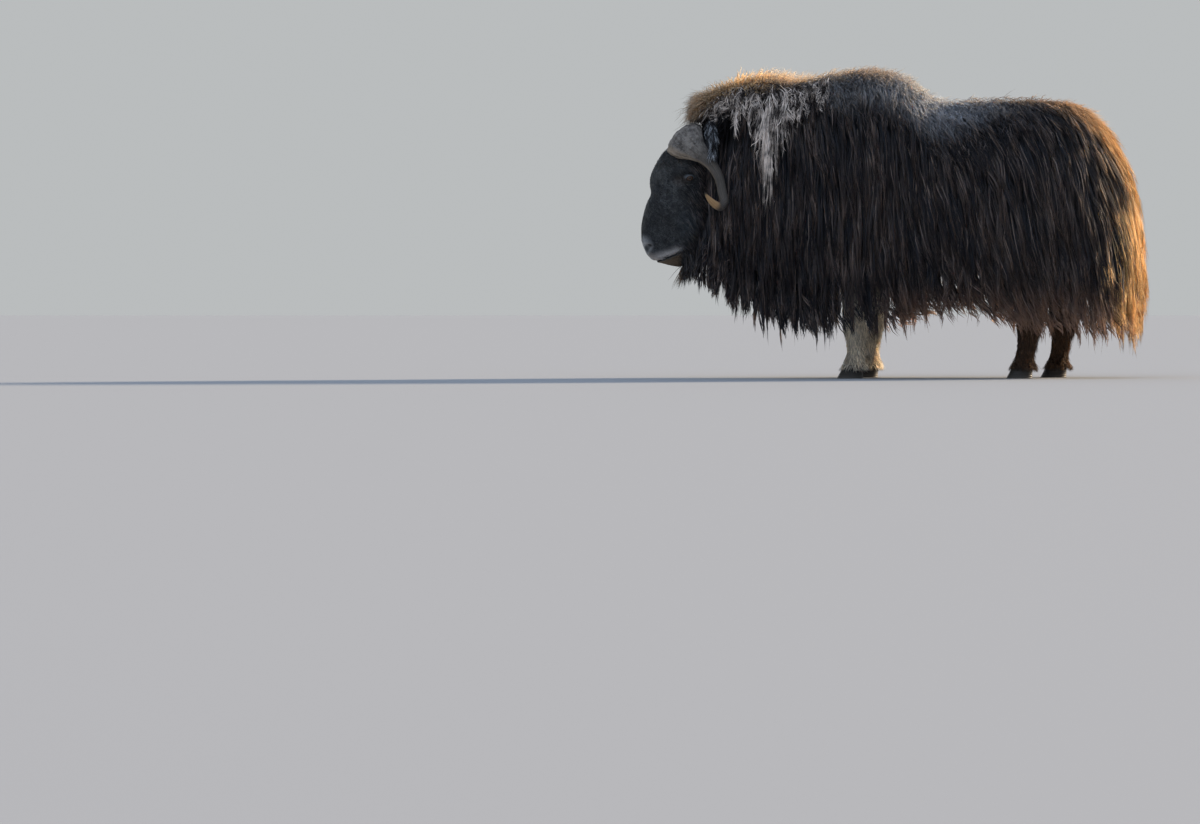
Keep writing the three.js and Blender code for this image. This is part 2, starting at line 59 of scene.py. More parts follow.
# Coat: one row per upright line of hair from the crest of the back down to the hem,
# from over the brow round one side to the tail: crest x, crest z, edge x, edge y, hem z
COAT_LINES = [
    (-868, 1316, -950, 0, 430),
    (-862, 1320, -936, 100, 420),
    (-835, 1345, -876, 172, 390),
    (-735, 1394, -765, 232, 300),
    (-576, 1419, -600, 306, 205),
    (-430, 1408, -430, 362, 150),
    (-257, 1440, -240, 396, 185),
    (-121, 1452, -90, 408, 190),
    (16, 1418, 40, 410, 190),
    (152, 1324, 190, 408, 262),
    (400, 1319, 440, 406, 235),
    (600, 1320, 690, 400, 175),
    (690, 1314, 920, 350, 150),
    (722, 1304, 1092, 205, 150),
    (732, 1300, 1154, 0, 155),
]
# Section of the coat: share of the way down, share out to the edge, share of the height
COAT_SECTION = [
    (0, 0, 1),
    (0.084, 0.25, 0.978),
    (0.176, 0.48, 0.915),
    (0.28, 0.68, 0.82),
    (0.395, 0.83, 0.7),
    (0.52, 0.93, 0.56),
    (0.648, 0.98, 0.41),
    (0.777, 1, 0.26),
    (0.897, 0.985, 0.12),
    (1, 0.94, 0),
    (1.1, 0.9, -0.12),
]
SKIN_TOP_DEPTH = 64  # the skin lies this far under the tips along the back
SKIN_SIDE_DEPTH = 58  # and this far in on the flanks
SKIN_DEPTH = 1.04  # the skin lies at this share of both depths
ROOT_DEPTH = 1.06  # and the locks start from this share, inside it
SKIN_END = 0.8  # share of the way down at which the skin turns under the belly
BELLY_SHARE = 0.12  # share of the skin's rows that close the belly

# Head from the poll down to the lips, one row per section square to its length:
# share of the length, face x, face z, throat x, throat z, half width, narrowing at the throat
HEAD_SECTIONS = [
    (0, -940, 1128, -850, 1100, 62, 1),
    (0.08, -990, 1085, -800, 1040, 92, 1),
    (0.18, -1062, 1018, -775, 950, 106, 1),
    (0.29, -1100, 950, -765, 870, 112, 0.98),
    (0.38, -1113, 892, -775, 800, 112, 0.96),
    (0.48, -1128, 828, -800, 730, 107, 0.94),
    (0.6, -1148, 752, -835, 665, 100, 0.88),
    (0.71, -1160, 690, -870, 615, 93, 0.82),
    (0.81, -1161, 638, -905, 572, 86, 0.8),
    (0.9, -1150, 590, -940, 535, 76, 0.8),
    (0.96, -1128, 553, -965, 515, 60, 0.84),
    (1, -1095, 530, -990, 508, 40, 0.9),
]
HEAD_ROUNDNESS = 0.86  # under 1 the sections are fuller than an ellipse
HEAD_CAP = 0.03  # share of the rows that round off each end
# Soft forms of the head, mirrored: middle, radii, push
HEAD_FORMS = [
    ((-1104, 0, 905), (46, 90, 50), (-5, 0, 2)),  # bulge of the forehead
    ((-1124, 0, 838), (40, 80, 34), (5, 0, 0)),  # dip below it
    ((-950, 96, 944), (60, 40, 22), (-3, 19, 5)),  # ridge over the eye
    ((-955, 100, 862), (62, 40, 24), (0, 15, 0)),  # cheekbone
    ((-905, 100, 905), (26, 40, 30), (0, 9, 0)),  # back of the socket
    ((-1012, 88, 880), (34, 40, 56), (3, -15, 0)),  # hollow before the eye
    ((-1050, 80, 780), (50, 50, 60), (0, 9, 0)),  # side of the nose
    ((-868, 92, 955), (28, 40, 50), (0, -8, 0)),  # temple
    ((-890, 84, 760), (75, 50, 80), (0, 17, 0)),  # cheek
    ((-1000, 88, 670), (70, 40, 46), (0, -13, 0)),  # hollow before the cheek
    ((-1112, 46, 618), (30, 26, 20), (-6, 13, 5)),  # wing of the nostril
    ((-1120, 60, 575), (24, 22, 14), (-3, 8, 0)),  # and its lower edge
    ((-1070, 60, 562), (60, 40, 20), (-3, 9, -2)),  # upper lip
    ((-1035, 40, 512), (50, 50, 16), (-4, 5, -3)),  # lower lip
    ((-1160, 0, 590), (40, 7, 60), (7, 0, 0)),  # groove between the nostrils
]
# Nostrils: how far they are pushed in, and the middle and radii of each push
NOSTRIL_PUSH = (26, -16, 6)
NOSTRIL_SLITS = [
    ((-1142, 42, 580), (9, 9, 15)),
    ((-1131, 51, 596), (10, 9, 11)),
    ((-1117, 58, 604), (11, 8, 7)),
]
# Line of the mouth, seen from the side. Its groove and the lips are pressed towards the middle of the muzzle,
# and fade out from one place to another by the corner of the mouth.
MOUTH_LINE = [(-1130, 527), (-1105, 530), (-1070, 539), (-1030, 553), (-985, 572), (-935, 592)]
MOUTH = {"depth": 11, "width": 4.2, "middle": -1020, "sideways": 1.6, "fades_from": -6, "fades_to": 10}
LIPS = {"off_the_line": 11, "width": 8, "swell": 3}
EYE = {
    "at": (-941, 110, 908),
    "radius": 20,
    "half_wide": 17,
    "half_high": 11,
    "lid": 1.6,
    "tilt": math.radians(14),
}
LID = {"upper": 5.5, "lower": 3.8, "corner": 1.6, "reach": 22, "gap": 0.4, "thickness": 3.0}
# Skin round the eye, by how far out it lies, where 1 is the rim of the opening
SOCKET = {"near": 60, "drawn_over_ball": (1.3, 2.1), "opened": (0.95, 1.1), "behind_middle": 4}
EYE_CREASES = [(2.0, 0.2, 2.6), (2.9, 0.25, 1.5)]  # how far out, breadth, depth
EYE_CLEAR = {"half_wide": 27, "half_high": 17, "out": 90}  # no hair hangs here

EAR = {"root": (-858, 84, 1160), "tip": (-840, 198, 1010), "facing": (-0.7, 0.45, 0.1), "width": 37}
EAR_THICKNESS = 9
EAR_CUP = 17

# Horn from the middle of the brow to the tip: x, y, z, half breadth, half thickness
HORN = [
    (-966, 3, 1080, 74, 36),
    (-966, 20, 1080, 92, 48),
    (-962, 58, 1080, 96, 50),
    (-945, 106, 1062, 82, 43),
    (-908, 142, 1030, 50, 34),
    (-872, 162, 1000, 33, 27),
    (-834, 178, 956, 25, 23),
    (-809, 191, 908, 22, 21),
    (-795, 206, 846, 21, 20),
    (-787, 228, 798, 20, 19),
    (-803, 251, 779, 19, 18),
    (-832, 275, 792, 16.5, 16),
    (-858, 294, 818, 10.5, 10.5),
    (-876, 308, 842, 1.5, 1.5),
]
HORN_PARTING = 4
BROW_SLOPE = np.array((0.7, 0, 0.71))

# Hooves: two claws to a foot, each with growth rings round it
CLAW = {
    "length": 116,
    "width": 50,
    "height": 61,
    "cleft": 6,
    "forward": 14,
    "top": 0.78,
    "flat": 0.35,
    "toe": 0.1,
    "ring_turns": 40,
    "ring_height": 0.008,
}
ANKLE = 52
# Legs: height, shift towards the tail, half length, half width
FRONT_LEG = [
    (ANKLE, -6, 41, 39),
    (85, -3, 38, 36),
    (120, 0, 32, 29),
    (165, 0, 36, 31),
    (225, 0, 50, 42),
    (300, 4, 58, 52),
    (400, 6, 72, 62),
    (480, 6, 80, 66),
    (640, 6, 84, 70),
]
HIND_LEG = [
    (ANKLE, -6, 41, 39),
    (85, -2, 38, 36),
    (120, 4, 35, 30),
    (170, 12, 39, 32),
    (240, 20, 52, 40),
    (320, 24, 70, 50),
    (420, 8, 94, 60),
    (500, -8, 108, 66),
    (640, -10, 112, 70),
]
LEGS = {
    "front_leg_left": (-193, -148, FRONT_LEG),
    "front_leg_right": (-118, 148, FRONT_LEG),
    "hind_leg_left": (575, -160, HIND_LEG),
    "hind_leg_right": (742, 160, HIND_LEG),
}


def smooth(rows):
    """A smooth function through rows of position, value, value, ..."""
    rows = np.array(rows, float)
    places, values = rows[:, 0], rows[:, 1:]
    slopes = np.gradient(values, places, axis=0)

    def curve(position):
        position = np.clip(np.asarray(position, float), places[0], places[-1])
        left = np.clip(np.searchsorted(places, position, side="right") - 1, 0, len(places) - 2)
        span = (places[left + 1] - places[left])[..., None]
        t = (position - places[left])[..., None] / span
        start, end = values[left], values[left + 1]
        leaving, arriving = slopes[left] * span, slopes[left + 1] * span
        mixed = (2 * t**3 - 3 * t**2 + 1) * start + (3 * t**2 - 2 * t**3) * end
        mixed = mixed + (t**3 - 2 * t**2 + t) * leaving + (t**3 - t**2) * arriving
        return np.moveaxis(mixed, -1, 0)

    return curve


def smooth_along(rows, columns):
    """The same through rows without a position, by the length walked through the columns named."""
    rows = np.array(rows, float)
    steps = np.linalg.norm(np.diff(rows[:, columns], axis=0), axis=1)
    walked = np.concatenate([[0], np.cumsum(steps)])
    return walked[-1], smooth(np.column_stack([walked / walked[-1], rows]))


def unit(vectors):
    return vectors / np.maximum(np.linalg.norm(vectors, axis=-1, keepdims=True), 1e-9)


def mixed(a, b, share):
    return a + (b - a) * share


def smooth_step(value, low, high):
    t = np.clip((value - low) / (high - low), 0, 1)
    return t * t * (3 - 2 * t)


# Coat surface

girth, coat_line = smooth_along(COAT_LINES, [2, 3])
coat_section = smooth(COAT_SECTION)


def coat_point(around, down, side, depth):
    """A point of the coat: share of the way round from brow to tail, share of the way down, side,
    and how far it lies under the tips, from 0 there to 1 on the skin."""
    crest_x, crest_z, edge_x, edge_y, hem = coat_line(around)
    out, up = coat_section(down)
    reach = np.hypot(edge_x - crest_x, edge_y)
    share = out * (reach - SKIN_SIDE_DEPTH * depth) / reach
    x = mixed(crest_x, edge_x, share)
    z = mixed(hem, crest_z - SKIN_TOP_DEPTH * depth, up)
    return np.stack([x, side * edge_y * share, z], axis=-1)


# Shapes in mesh code

def select_only(piece):
    bpy.ops.object.select_all(action="DESELECT")
    piece.select_set(True)
    bpy.context.view_layer.objects.active = piece


def rolled(name, columns, rows, place, weld=0.02):
    """A sheet of squares, put in place by a function of its two shares and welded where it meets itself."""
    bpy.ops.object.select_all(action="DESELECT")
    bpy.ops.mesh.primitive_grid_add(x_subdivisions=columns, y_subdivisions=rows, size=2)
    piece = bpy.context.object
    piece.name = name
    piece.data.name = name
    flat = np.zeros(len(piece.data.vertices) * 3)
    piece.data.vertices.foreach_get("co", flat)
    flat = flat.reshape(-1, 3)
    placed = place((flat[:, 0] + 1) / 2, (1 - flat[:, 1]) / 2)
    piece.data.vertices.foreach_set("co", (placed * MM).ravel())
    bpy.ops.object.mode_set(mode="EDIT")
    bpy.ops.mesh.select_all(action="SELECT")
    bpy.ops.mesh.remove_doubles(threshold=weld * MM)
    bpy.ops.mesh.dissolve_degenerate(threshold=weld * MM)
    bpy.ops.mesh.normals_make_consistent(inside=False)
    bpy.ops.object.mode_set(mode="OBJECT")
    bpy.ops.object.shade_smooth()
    return piece


def round_ends(v, cap):
    """Shares of the length and of the radius for a closed form whose ends are rounded."""
    share = np.clip((v - cap) / (1 - 2 * cap), 0, 1)
    end = np.clip(np.minimum(v, 1 - v) / cap, 0, 1)
    return share, np.sqrt(1 - (1 - end) ** 2)


def drop_scraps(piece):
    """Takes out the doubled flat faces, under 1 mm across, that a union leaves loose."""
    piece.data.validate()
    select_only(piece)
    bpy.ops.object.mode_set(mode="EDIT")
    bpy.ops.mesh.select_mode(type="EDGE")
    bpy.ops.mesh.select_all(action="DESELECT")
    bpy.ops.mesh.select_non_manifold(use_multi_face=False, use_non_contiguous=False, use_verts=False)
    bpy.ops.mesh.delete(type="EDGE")
    bpy.ops.mesh.select_all(action="SELECT")
    bpy.ops.mesh.delete_loose()
    bpy.ops.mesh.select_mode(type="VERT")
    bpy.ops.object.mode_set(mode="OBJECT")


def joined(name, pieces):
    """One closed skin from several forms that reach into each other."""
    whole = pieces[0]
    for piece in pieces[1:]:
        select_only(whole)
        union = whole.modifiers.new("union", "BOOLEAN")
        union.operation = "UNION"
        union.solver = "MANIFOLD"
        union.object = piece
        bpy.ops.object.modifier_apply(modifier=union.name)
        bpy.data.objects.remove(piece)
    drop_scraps(whole)
    whole.name = name
    whole.data.name = name
    return whole


# Skin

def body_form():
    def place(u, v):
        signed = 2 * u - 1
        side = np.where(signed < 0, -1, 1)
        around = np.abs(signed)
        flank = np.clip(v / (1 - BELLY_SHARE), 0, 1)
        points = coat_point(around, flank**1.1 * SKIN_END, side, np.full_like(v, SKIN_DEPTH))
        under = np.clip((v - 1 + BELLY_SHARE) / BELLY_SHARE, 0, 1)
        points[:, 1] *= 1 - under
        return points

    return rolled("skin", 150, 56, place)


def full(value):
    return np.sign(value) * np.abs(value) ** HEAD_ROUNDNESS


head_section = smooth(HEAD_SECTIONS)


def head_point(angle, share, radius):
    """A point of the head by its angle round the head, 0 on the face, and its share of the length."""
    face_x, face_z, throat_x, throat_z, half_width, narrowing = head_section(share)
    back = 0.5 - 0.5 * radius * full(np.cos(angle))
    width = half_width * mixed(1, narrowing, back) * radius * full(np.sin(angle))
    return np.stack([mixed(face_x, throat_x, back), width, mixed(face_z, throat_z, back)], axis=-1)


def pushed(points, middle, radii, push, mirrored=True):
    """Moves the points near a place by a soft push, on both sides."""
    for side in (1, -1) if mirrored else (1,):
        mirror = np.array([1, side, 1])
        away = (points - np.array(middle) * mirror) / np.array(radii)
        weight = np.exp(-np.sum(away**2, axis=-1))
        points = points + weight[:, None] * np.array(push) * mirror
    return points


def eye_plane(points, side):
    """How far points lie from the eye along its opening and across it, after the opening's tilt."""
    x, _, z = np.array(EYE["at"]) * (1, side, 1)
    ahead, up = points[..., 0] - x, points[..., 2] - z
    cos, sin = math.cos(EYE["tilt"]), math.sin(EYE["tilt"])
    return ahead * cos + up * sin, up * cos - ahead * sin


def out_of_eye(along, across):
    """How far out a place lies from the eye: 1 is the rim of its opening."""
    return np.hypot(along / EYE["half_wide"], across / EYE["half_high"])


def with_eye_sockets(points):
    """Draws the skin over the eyeball, and opens it where the lids leave the eye free."""
    middle = EYE["at"][1]
    ball = EYE["radius"] + EYE["lid"]
    for side in (1, -1):
        along, across = eye_plane(points, side)
        near = (points[:, 1] * side > SOCKET["near"]) & (np.hypot(along, across) < SOCKET["near"])
        away = out_of_eye(along, across)
        on_ball = middle + np.sqrt(np.maximum(ball**2 - along**2 - across**2, 0))
        drawn = 1 - smooth_step(away, *SOCKET["drawn_over_ball"])
        out = mixed(points[:, 1] * side, on_ball, drawn)
        for place, breadth, depth in EYE_CREASES:
            out = out - np.exp(-(((away - place) / breadth) ** 2)) * depth
        out = mixed(out, middle - SOCKET["behind_middle"], 1 - smooth_step(away, *SOCKET["opened"]))
        points[:, 1] = np.where(near, out * side, points[:, 1])
    return points


def lid_form(side):
    """The rims of both lids as one ring round the opening, thicker above."""

    def place(u, v):
        turn, round_rim = u * 2 * np.pi, v * 2 * np.pi
        up = np.sin(turn)
        size = np.where(up > 0, LID["upper"], LID["lower"]) * np.abs(up) ** 0.5
        size = size + LID["corner"] * (1 - np.abs(up))
        reach = 1 + size / LID["reach"] * (1 + np.cos(round_rim))
        along = EYE["half_wide"] * np.cos(turn) * reach
        across = EYE["half_high"] * up * np.abs(up) ** 0.25 * reach
        ball = EYE["radius"] + LID["gap"] + LID["thickness"] / 2 * (1 + np.sin(round_rim))
        out = np.sqrt(np.maximum(ball**2 - along**2 - across**2, 1))
        cos, sin = math.cos(EYE["tilt"]), math.sin(EYE["tilt"])
        x, y, z = EYE["at"]
        x, z = x + along * cos - across * sin, z + across * cos + along * sin
        return np.stack([x, side * (y + out), z], axis=-1)

    return rolled("lid_form", 64, 16, place)


def with_mouth(points):
    """Presses the line of the mouth in, and swells the lips on both sides of it."""
    line = np.array(MOUTH_LINE, float)
    off = points[:, 2] - np.interp(points[:, 0], line[:, 0], line[:, 1])
    corner = line[-1, 0]
    here = 1 - smooth_step(points[:, 0], corner + MOUTH["fades_from"], corner + MOUTH["fades_to"])
    groove = np.exp(-((off / MOUTH["width"]) ** 2)) * here
    lips = np.exp(-(((np.abs(off) - LIPS["off_the_line"]) / LIPS["width"]) ** 2)) * here
    inward = [points[:, 0] - MOUTH["middle"], points[:, 1] * MOUTH["sideways"], np.zeros(len(points))]
    pressed = groove * MOUTH["depth"] - lips * LIPS["swell"]
    return points - unit(np.stack(inward, axis=-1)) * pressed[:, None]


def finer(shares, places):
    """Shifts even shares so that they lie closer together round the places: centre, spread, how much."""
    fine = np.linspace(0, 1, 2001)
    density = np.ones_like(fine)
    for centre, width, much in places:
        density += much * np.exp(-(((fine - centre) / width) ** 2))
    walked = np.concatenate([[0], np.cumsum((density[1:] + density[:-1]) / 2)])
    return np.interp(shares, walked / walked[-1], fine)


# Where the squares of the head are finer, round it and down it: at the eyes, the nostrils and the mouth
FINE_ROUND = [
    (0.25, 0.022, 3.2),
    (0.75, 0.022, 3.2),
    (0.07, 0.04, 1.2),
    (0.93, 0.04, 1.2),
    (0.15, 0.06, 0.5),
    (0.85, 0.06, 0.5),
]
FINE_DOWN = [(0.355, 0.035, 3.0), (0.86, 0.09, 1.2)]


def head_surface(u, v):
    """The head with all its forms, by the share of the way round it and down it."""
    share, radius = round_ends(v, HEAD_CAP)
    points = head_point(u * 2 * np.pi, share, radius)
    for form in HEAD_FORMS:
        points = pushed(points, *form)
    points = with_mouth(points)
    for middle, radii in NOSTRIL_SLITS:
        points = pushed(points, middle, radii, NOSTRIL_PUSH)
    return with_eye_sockets(points)


def head_form():
    def place(u, v):
        return head_surface(finer(u, FINE_ROUND), finer(v, FINE_DOWN))

    return rolled("head_form", 270, 280, place)


def leg_surface(x, y, rows):
    """The place of a leg by the share of the way round it and down it."""
    curve = smooth(rows)

    def place(u, v):
        share, radius = round_ends(v, 0.04)
        height = mixed(rows[-1][0], rows[0][0], share)
        shift, length, width = curve(height)
        angle = u * 2 * np.pi
        along = shift + radius * length * np.cos(angle)
        return np.stack([x + along, y + radius * width * np.sin(angle), height], axis=-1)

    return place


def ear_frame(side):
    root, tip = (np.array(EAR[end]) * (1, side, 1) for end in ("root", "tip"))
    along = unit(tip - root)
    facing = np.array(EAR["facing"]) * (1, side, 1)
    facing = unit(facing - along * (facing @ along))
    return root, tip, along, facing, np.cross(along, facing)


def ear_point(side, share, angle, radius):
    """A leaf with a cupped front: angle 0 is one edge, the front lies between 0 and pi."""
    root, tip, _, facing, across = ear_frame(side)
    leaf = np.sin(np.pi * np.clip(share, 0, 1) ** 0.8) ** 0.6 * EAR["width"] + 6
    wide = radius * np.cos(angle)
    thick = EAR_THICKNESS * radius * np.sin(angle)
    cup = EAR_CUP * (wide**2 - 0.6) * np.sin(np.pi * share)
    middle = root + (tip - root) * share[..., None]
    return middle + across * (wide * leaf)[..., None] + facing * (thick + cup)[..., None]


def ear_surface(side):
    def place(u, v):
        share, radius = round_ends(v, 0.06)
        return ear_point(side, share, u * 2 * np.pi, radius)

    return place


# Horns

_, horn_row = smooth_along(HORN, [0, 1, 2])


# Ridges that run along a horn: how many round it, twist, phase, height
HORN_RIDGES = [(11, 9, 0, 0.6), (24, -14, 1, 0.4)]
HORN_ROUGH = {"boss_ridges": 1.9, "boss_rings": 1.1, "shaft_rings": 0.5, "boss_ends": (0.2, 0.5)}


def horn_point(side, share, angle, radius):
    """A point of a horn, with the rough ridges that run along it from the boss."""
    x, y, z, breadth, thickness = horn_row(share)
    ahead = unit(np.moveaxis((horn_row(share + 0.01) - horn_row(share - 0.01))[:3], 0, -1))
    along = unit(BROW_SLOPE - ahead * (ahead @ BROW_SLOPE)[..., None])
    across = np.cross(ahead, along)
    boss = 1 - smooth_step(share, *HORN_ROUGH["boss_ends"])
    ridges = 0
    for many, twist, phase, high in HORN_RIDGES:
        ridges = ridges + np.sin(angle * many + twist * share + phase) * high
    rings = np.sin(share * 95 + 3 * np.cos(2 * angle)) * 0.5 + np.sin(share * 173 + angle) * 0.3
    rough = boss * (HORN_ROUGH["boss_ridges"] * ridges + HORN_ROUGH["boss_rings"] * rings)
    rough = radius * (rough + (1 - boss) * HORN_ROUGH["shaft_rings"] * rings)
    rough = rough * np.clip(breadth / 20, 0, 1)
    wide = (radius * breadth + rough) * np.cos(angle)
    thick = (radius * thickness + rough) * np.sin(angle)
    middle = np.stack([x, y, z], axis=-1)
    return (middle + along * wide[..., None] + across * thick[..., None]) * np.array([1, side, 1])


def horn_piece(name, side):
    def place(u, v):
        share, radius = round_ends(v, 0.012)
        points = horn_point(side, share**1.15, u * 2 * np.pi, radius)
        points[:, 1] = side * np.maximum(points[:, 1] * side, HORN_PARTING * (0.3 + 0.7 * radius))
        return points

    return rolled(name, 96, 150, place)


def claw_piece(name, x, y, inner):
    """One claw: a half-round toe, with growth rings and a flat sole."""

    def place(u, v):
        share, radius = round_ends(v, 0.07)
        angle = u * 2 * np.pi
        ring = CLAW["ring_height"] * np.sin(share * CLAW["ring_turns"]) * radius
        size = mixed(CLAW["top"], 1, share) + ring
        out = np.maximum(-CLAW["flat"], np.sin(angle)) * radius
        width = (out + CLAW["flat"]) / (1 + CLAW["flat"]) * CLAW["width"]
        toe = 1 + CLAW["toe"] * np.maximum(np.cos(angle), 0) * share
        along = radius * np.cos(angle) * CLAW["length"] / 2 * size * toe * 0.96
        across = (CLAW["cleft"] / 2 + width) * size
        slope = CLAW["forward"] * (0.4 + share)
        return np.stack([x - slope - along, y + inner * across, CLAW["height"] * (1 - share)], axis=-1)

    return rolled(name, 40, 30, place)


def eye_piece(name, side):
    x, y, z = np.array(EYE["at"]) * (1, side, 1) * MM
    bpy.ops.object.select_all(action="DESELECT")
    bpy.ops.mesh.primitive_uv_sphere_add(
        segments=48,
        ring_count=32,
        radius=EYE["radius"] * MM,
        rotation=(math.pi / 2, 0, 0),
        location=(x, y, z),
    )
    piece = bpy.context.object
    piece.name = name
    bpy.ops.object.transform_apply(location=True, rotation=True, scale=True)
    bpy.ops.object.shade_smooth()
    return piece


# Strands of hair

PATCH = 0.003  # side of a strand's patch on the map of the coat
MOST_TRIANGLES = 190000  # in one piece of hair
DOWN = np.array((0.0, 0.0, -1.0))


def strand_faces(rings):
    """Triangles of one strand with three sides, a closed root and a point."""
    faces = [(0, 2, 1)]
    for ring in range(rings - 2):
        for corner in range(3):
            a, b = 3 * ring + corner, 3 * ring + (corner + 1) % 3
            faces += [(a, b, b + 3), (a, b + 3, a + 3)]
    last = 3 * (rings - 2)
    faces += [(last + corner, last + (corner + 1) % 3, last + 3) for corner in range(3)]
    return np.array(faces)


def strand_mesh(name, strands):
    """One mesh of closed, tapering strands: places along each, the way out of the coat, half breadth,
    thickness, a shade for each strand and its place on the map of the coat."""
    keys = ("places", "outward", "breadth", "thickness")
    places, outward, breadth, thickness = (strands[key] for key in keys)
    count, rings = places.shape[:2]
    ahead = unit(np.gradient(places, axis=1))
    across = unit(np.cross(ahead, outward))
    lifted = np.cross(across, ahead)
    wide, thick = across * breadth[..., None], lifted * thickness[..., None]
    corners = np.stack([places + wide, places - wide, places + thick], axis=2)[:, :-1]
    vertices = np.concatenate([corners.reshape(count, -1, 3), places[:, -1:]], axis=1) * MM
    vertices = np.clip(vertices, cad_box[0], cad_box[1])  # no hair stands past the solids
    each = vertices.shape[1]
    faces = strand_faces(rings)[None] + np.arange(count)[:, None, None] * each
    corner_ids = faces.reshape(-1)

    mesh = bpy.data.meshes.new(name)
    mesh.vertices.add(count * each)
    mesh.vertices.foreach_set("co", vertices.ravel())
    mesh.loops.add(len(corner_ids))
    mesh.loops.foreach_set("vertex_index", corner_ids)
    mesh.polygons.add(len(corner_ids) // 3)
    mesh.polygons.foreach_set("loop_start", np.arange(0, len(corner_ids), 3))
    mesh.update(calc_edges=True)
    mesh.shade_smooth()

    share = np.append(np.repeat(np.linspace(0, 1, rings)[:-1], 3), 1)
    for attribute, values in (("tip", np.tile(share, count)), ("strand", np.repeat(strands["shade"], each))):
        mesh.attributes.new(attribute, "FLOAT", "POINT").data.foreach_set("value", values)
    sideways = np.append(np.tile([0.5, -0.5, 0], rings - 1), 0)
    patch = np.stack([sideways, share - 0.5], axis=-1) * PATCH
    corner_map = (strands["map"][:, None] + patch[None]).reshape(-1, 2)[corner_ids]
    mesh.uv_layers.new(name="OFBake").data.foreach_set("uv", corner_map.ravel())
    return mesh


def hair_pieces(name, strands, material):
    """Pieces of hair made of the strands, split along the body where there are too many for one."""
    count, rings = strands["places"].shape[:2]
    parts = math.ceil(count * len(strand_faces(rings)) / MOST_TRIANGLES)
    order = np.argsort(strands["places"][:, 0, 0])
    for index, part in enumerate(np.array_split(order, parts)):
        part_name = name if parts == 1 else f"{name}_{index + 1}"
        mesh = strand_mesh(part_name, chosen(strands, part))
        mesh.materials.append(material)
        piece = bpy.data.objects.new(part_name, mesh)
        bpy.context.scene.collection.objects.link(piece)
        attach(piece, "root")


def chosen(strands, keep):
    return {key: value[keep] for key, value in strands.items()}


def drawer(random, count):
    """Gives a function that draws one even number for each of so many hairs."""
    return lambda low, high: random.uniform(low, high, count)


def tapered(half_breadth, thickness, rings, blunt=0.75):
    """Half breadth and thickness along each strand, widest at a third of its length."""
    t = np.linspace(0, 1, rings)
    outline = np.minimum(1, 0.7 + t) * (1 - t**2.2) ** blunt
    return half_breadth[:, None] * outline, thickness[:, None] * outline


# The look of a tuft where nothing else is said; hair with a lift of 0 lies flat, and with 1 it stands up
TUFT_LOOK = {"lift": 0.2, "droop": 0.0, "curl": 1.0, "turns": 1.0, "half_breadth": 1.5}


def tufts(roots, normals, lie, coat_map, random, rings=4, **look):
    """Strands that start at roots on the skin and follow a lie, by their look: length, lift, droop,
    curl in mm, turns of the curl and half_breadth."""
    count = len(roots)
    shade = random.random(count)
    look = {**TUFT_LOOK, **look}
    length, lift, droop, curl, turns, half_breadth = (
        np.broadcast_to(np.asarray(look[key], float), (count,))[:, None]
        for key in ("length", "lift", "droop", "curl", "turns", "half_breadth")
    )
    t = np.linspace(0, 1, rings)
    places = [roots]
    for ring in range(rings - 1):
        here = (ring + 0.5) / (rings - 1)
        rise = lift * (1 - 0.55 * here)
        ahead = unit(lie * (1 - rise) + normals * rise + DOWN * droop * here)
        places.append(places[-1] + ahead * length / (rings - 1))
    places = np.stack(places, axis=1)
    sideways = unit(np.cross(normals, lie))
    phase = (random.uniform(0, 2 * np.pi, (count, 1)) + 2 * np.pi * turns * t)[..., None]
    curled = sideways[:, None] * np.sin(phase) + 0.6 * normals[:, None] * np.cos(phase)
    places += (curl * t)[..., None] * curled
    breadth, thickness = tapered(half_breadth[:, 0], half_breadth[:, 0] * 0.7, rings)
    return {
        "places": places,
        "outward": np.repeat(normals[:, None], rings, axis=1),
        "breadth": breadth,
        "thickness": thickness,
        "shade": shade,
        "map": coat_map,
    }


def uneven_field(random, across, down, waves=9):
    """A smooth uneven field of two shares, mostly between -1 and 1, with about so many humps each way."""
    turns = random.uniform(-1, 1, (waves, 2)) * (across, down)
    phases = random.uniform(0, 2 * np.pi, waves)

    def value(a, b):
        angles = 2 * np.pi * (turns[:, 0] * a[..., None] + turns[:, 1] * b[..., None]) + phases
        return np.sin(angles).mean(axis=-1) * 2

    return value


def folded(around):
    """Shares that run past the brow or the tail come back on the same side."""
    around = np.abs(around)
    return np.where(around > 1, 2 - around, around)


def coat_map(around, down, side):
    u = 0.5 + 0.49 * side * np.clip(around, 0, 1)
    return np.stack([u, 1 - 0.95 * np.clip(down, 0, 1)], axis=-1)


# Strands of a lock: shares of those that stray and of those painted bright as highlights, the fine sway of
# each in mm, and how far they part at the crest, in mm, and within which share of the way down
STRAND = {"stray": 0.1, "painted_highlight": 0.09, "sway": 5, "parted": 46, "parted_within": 0.045}


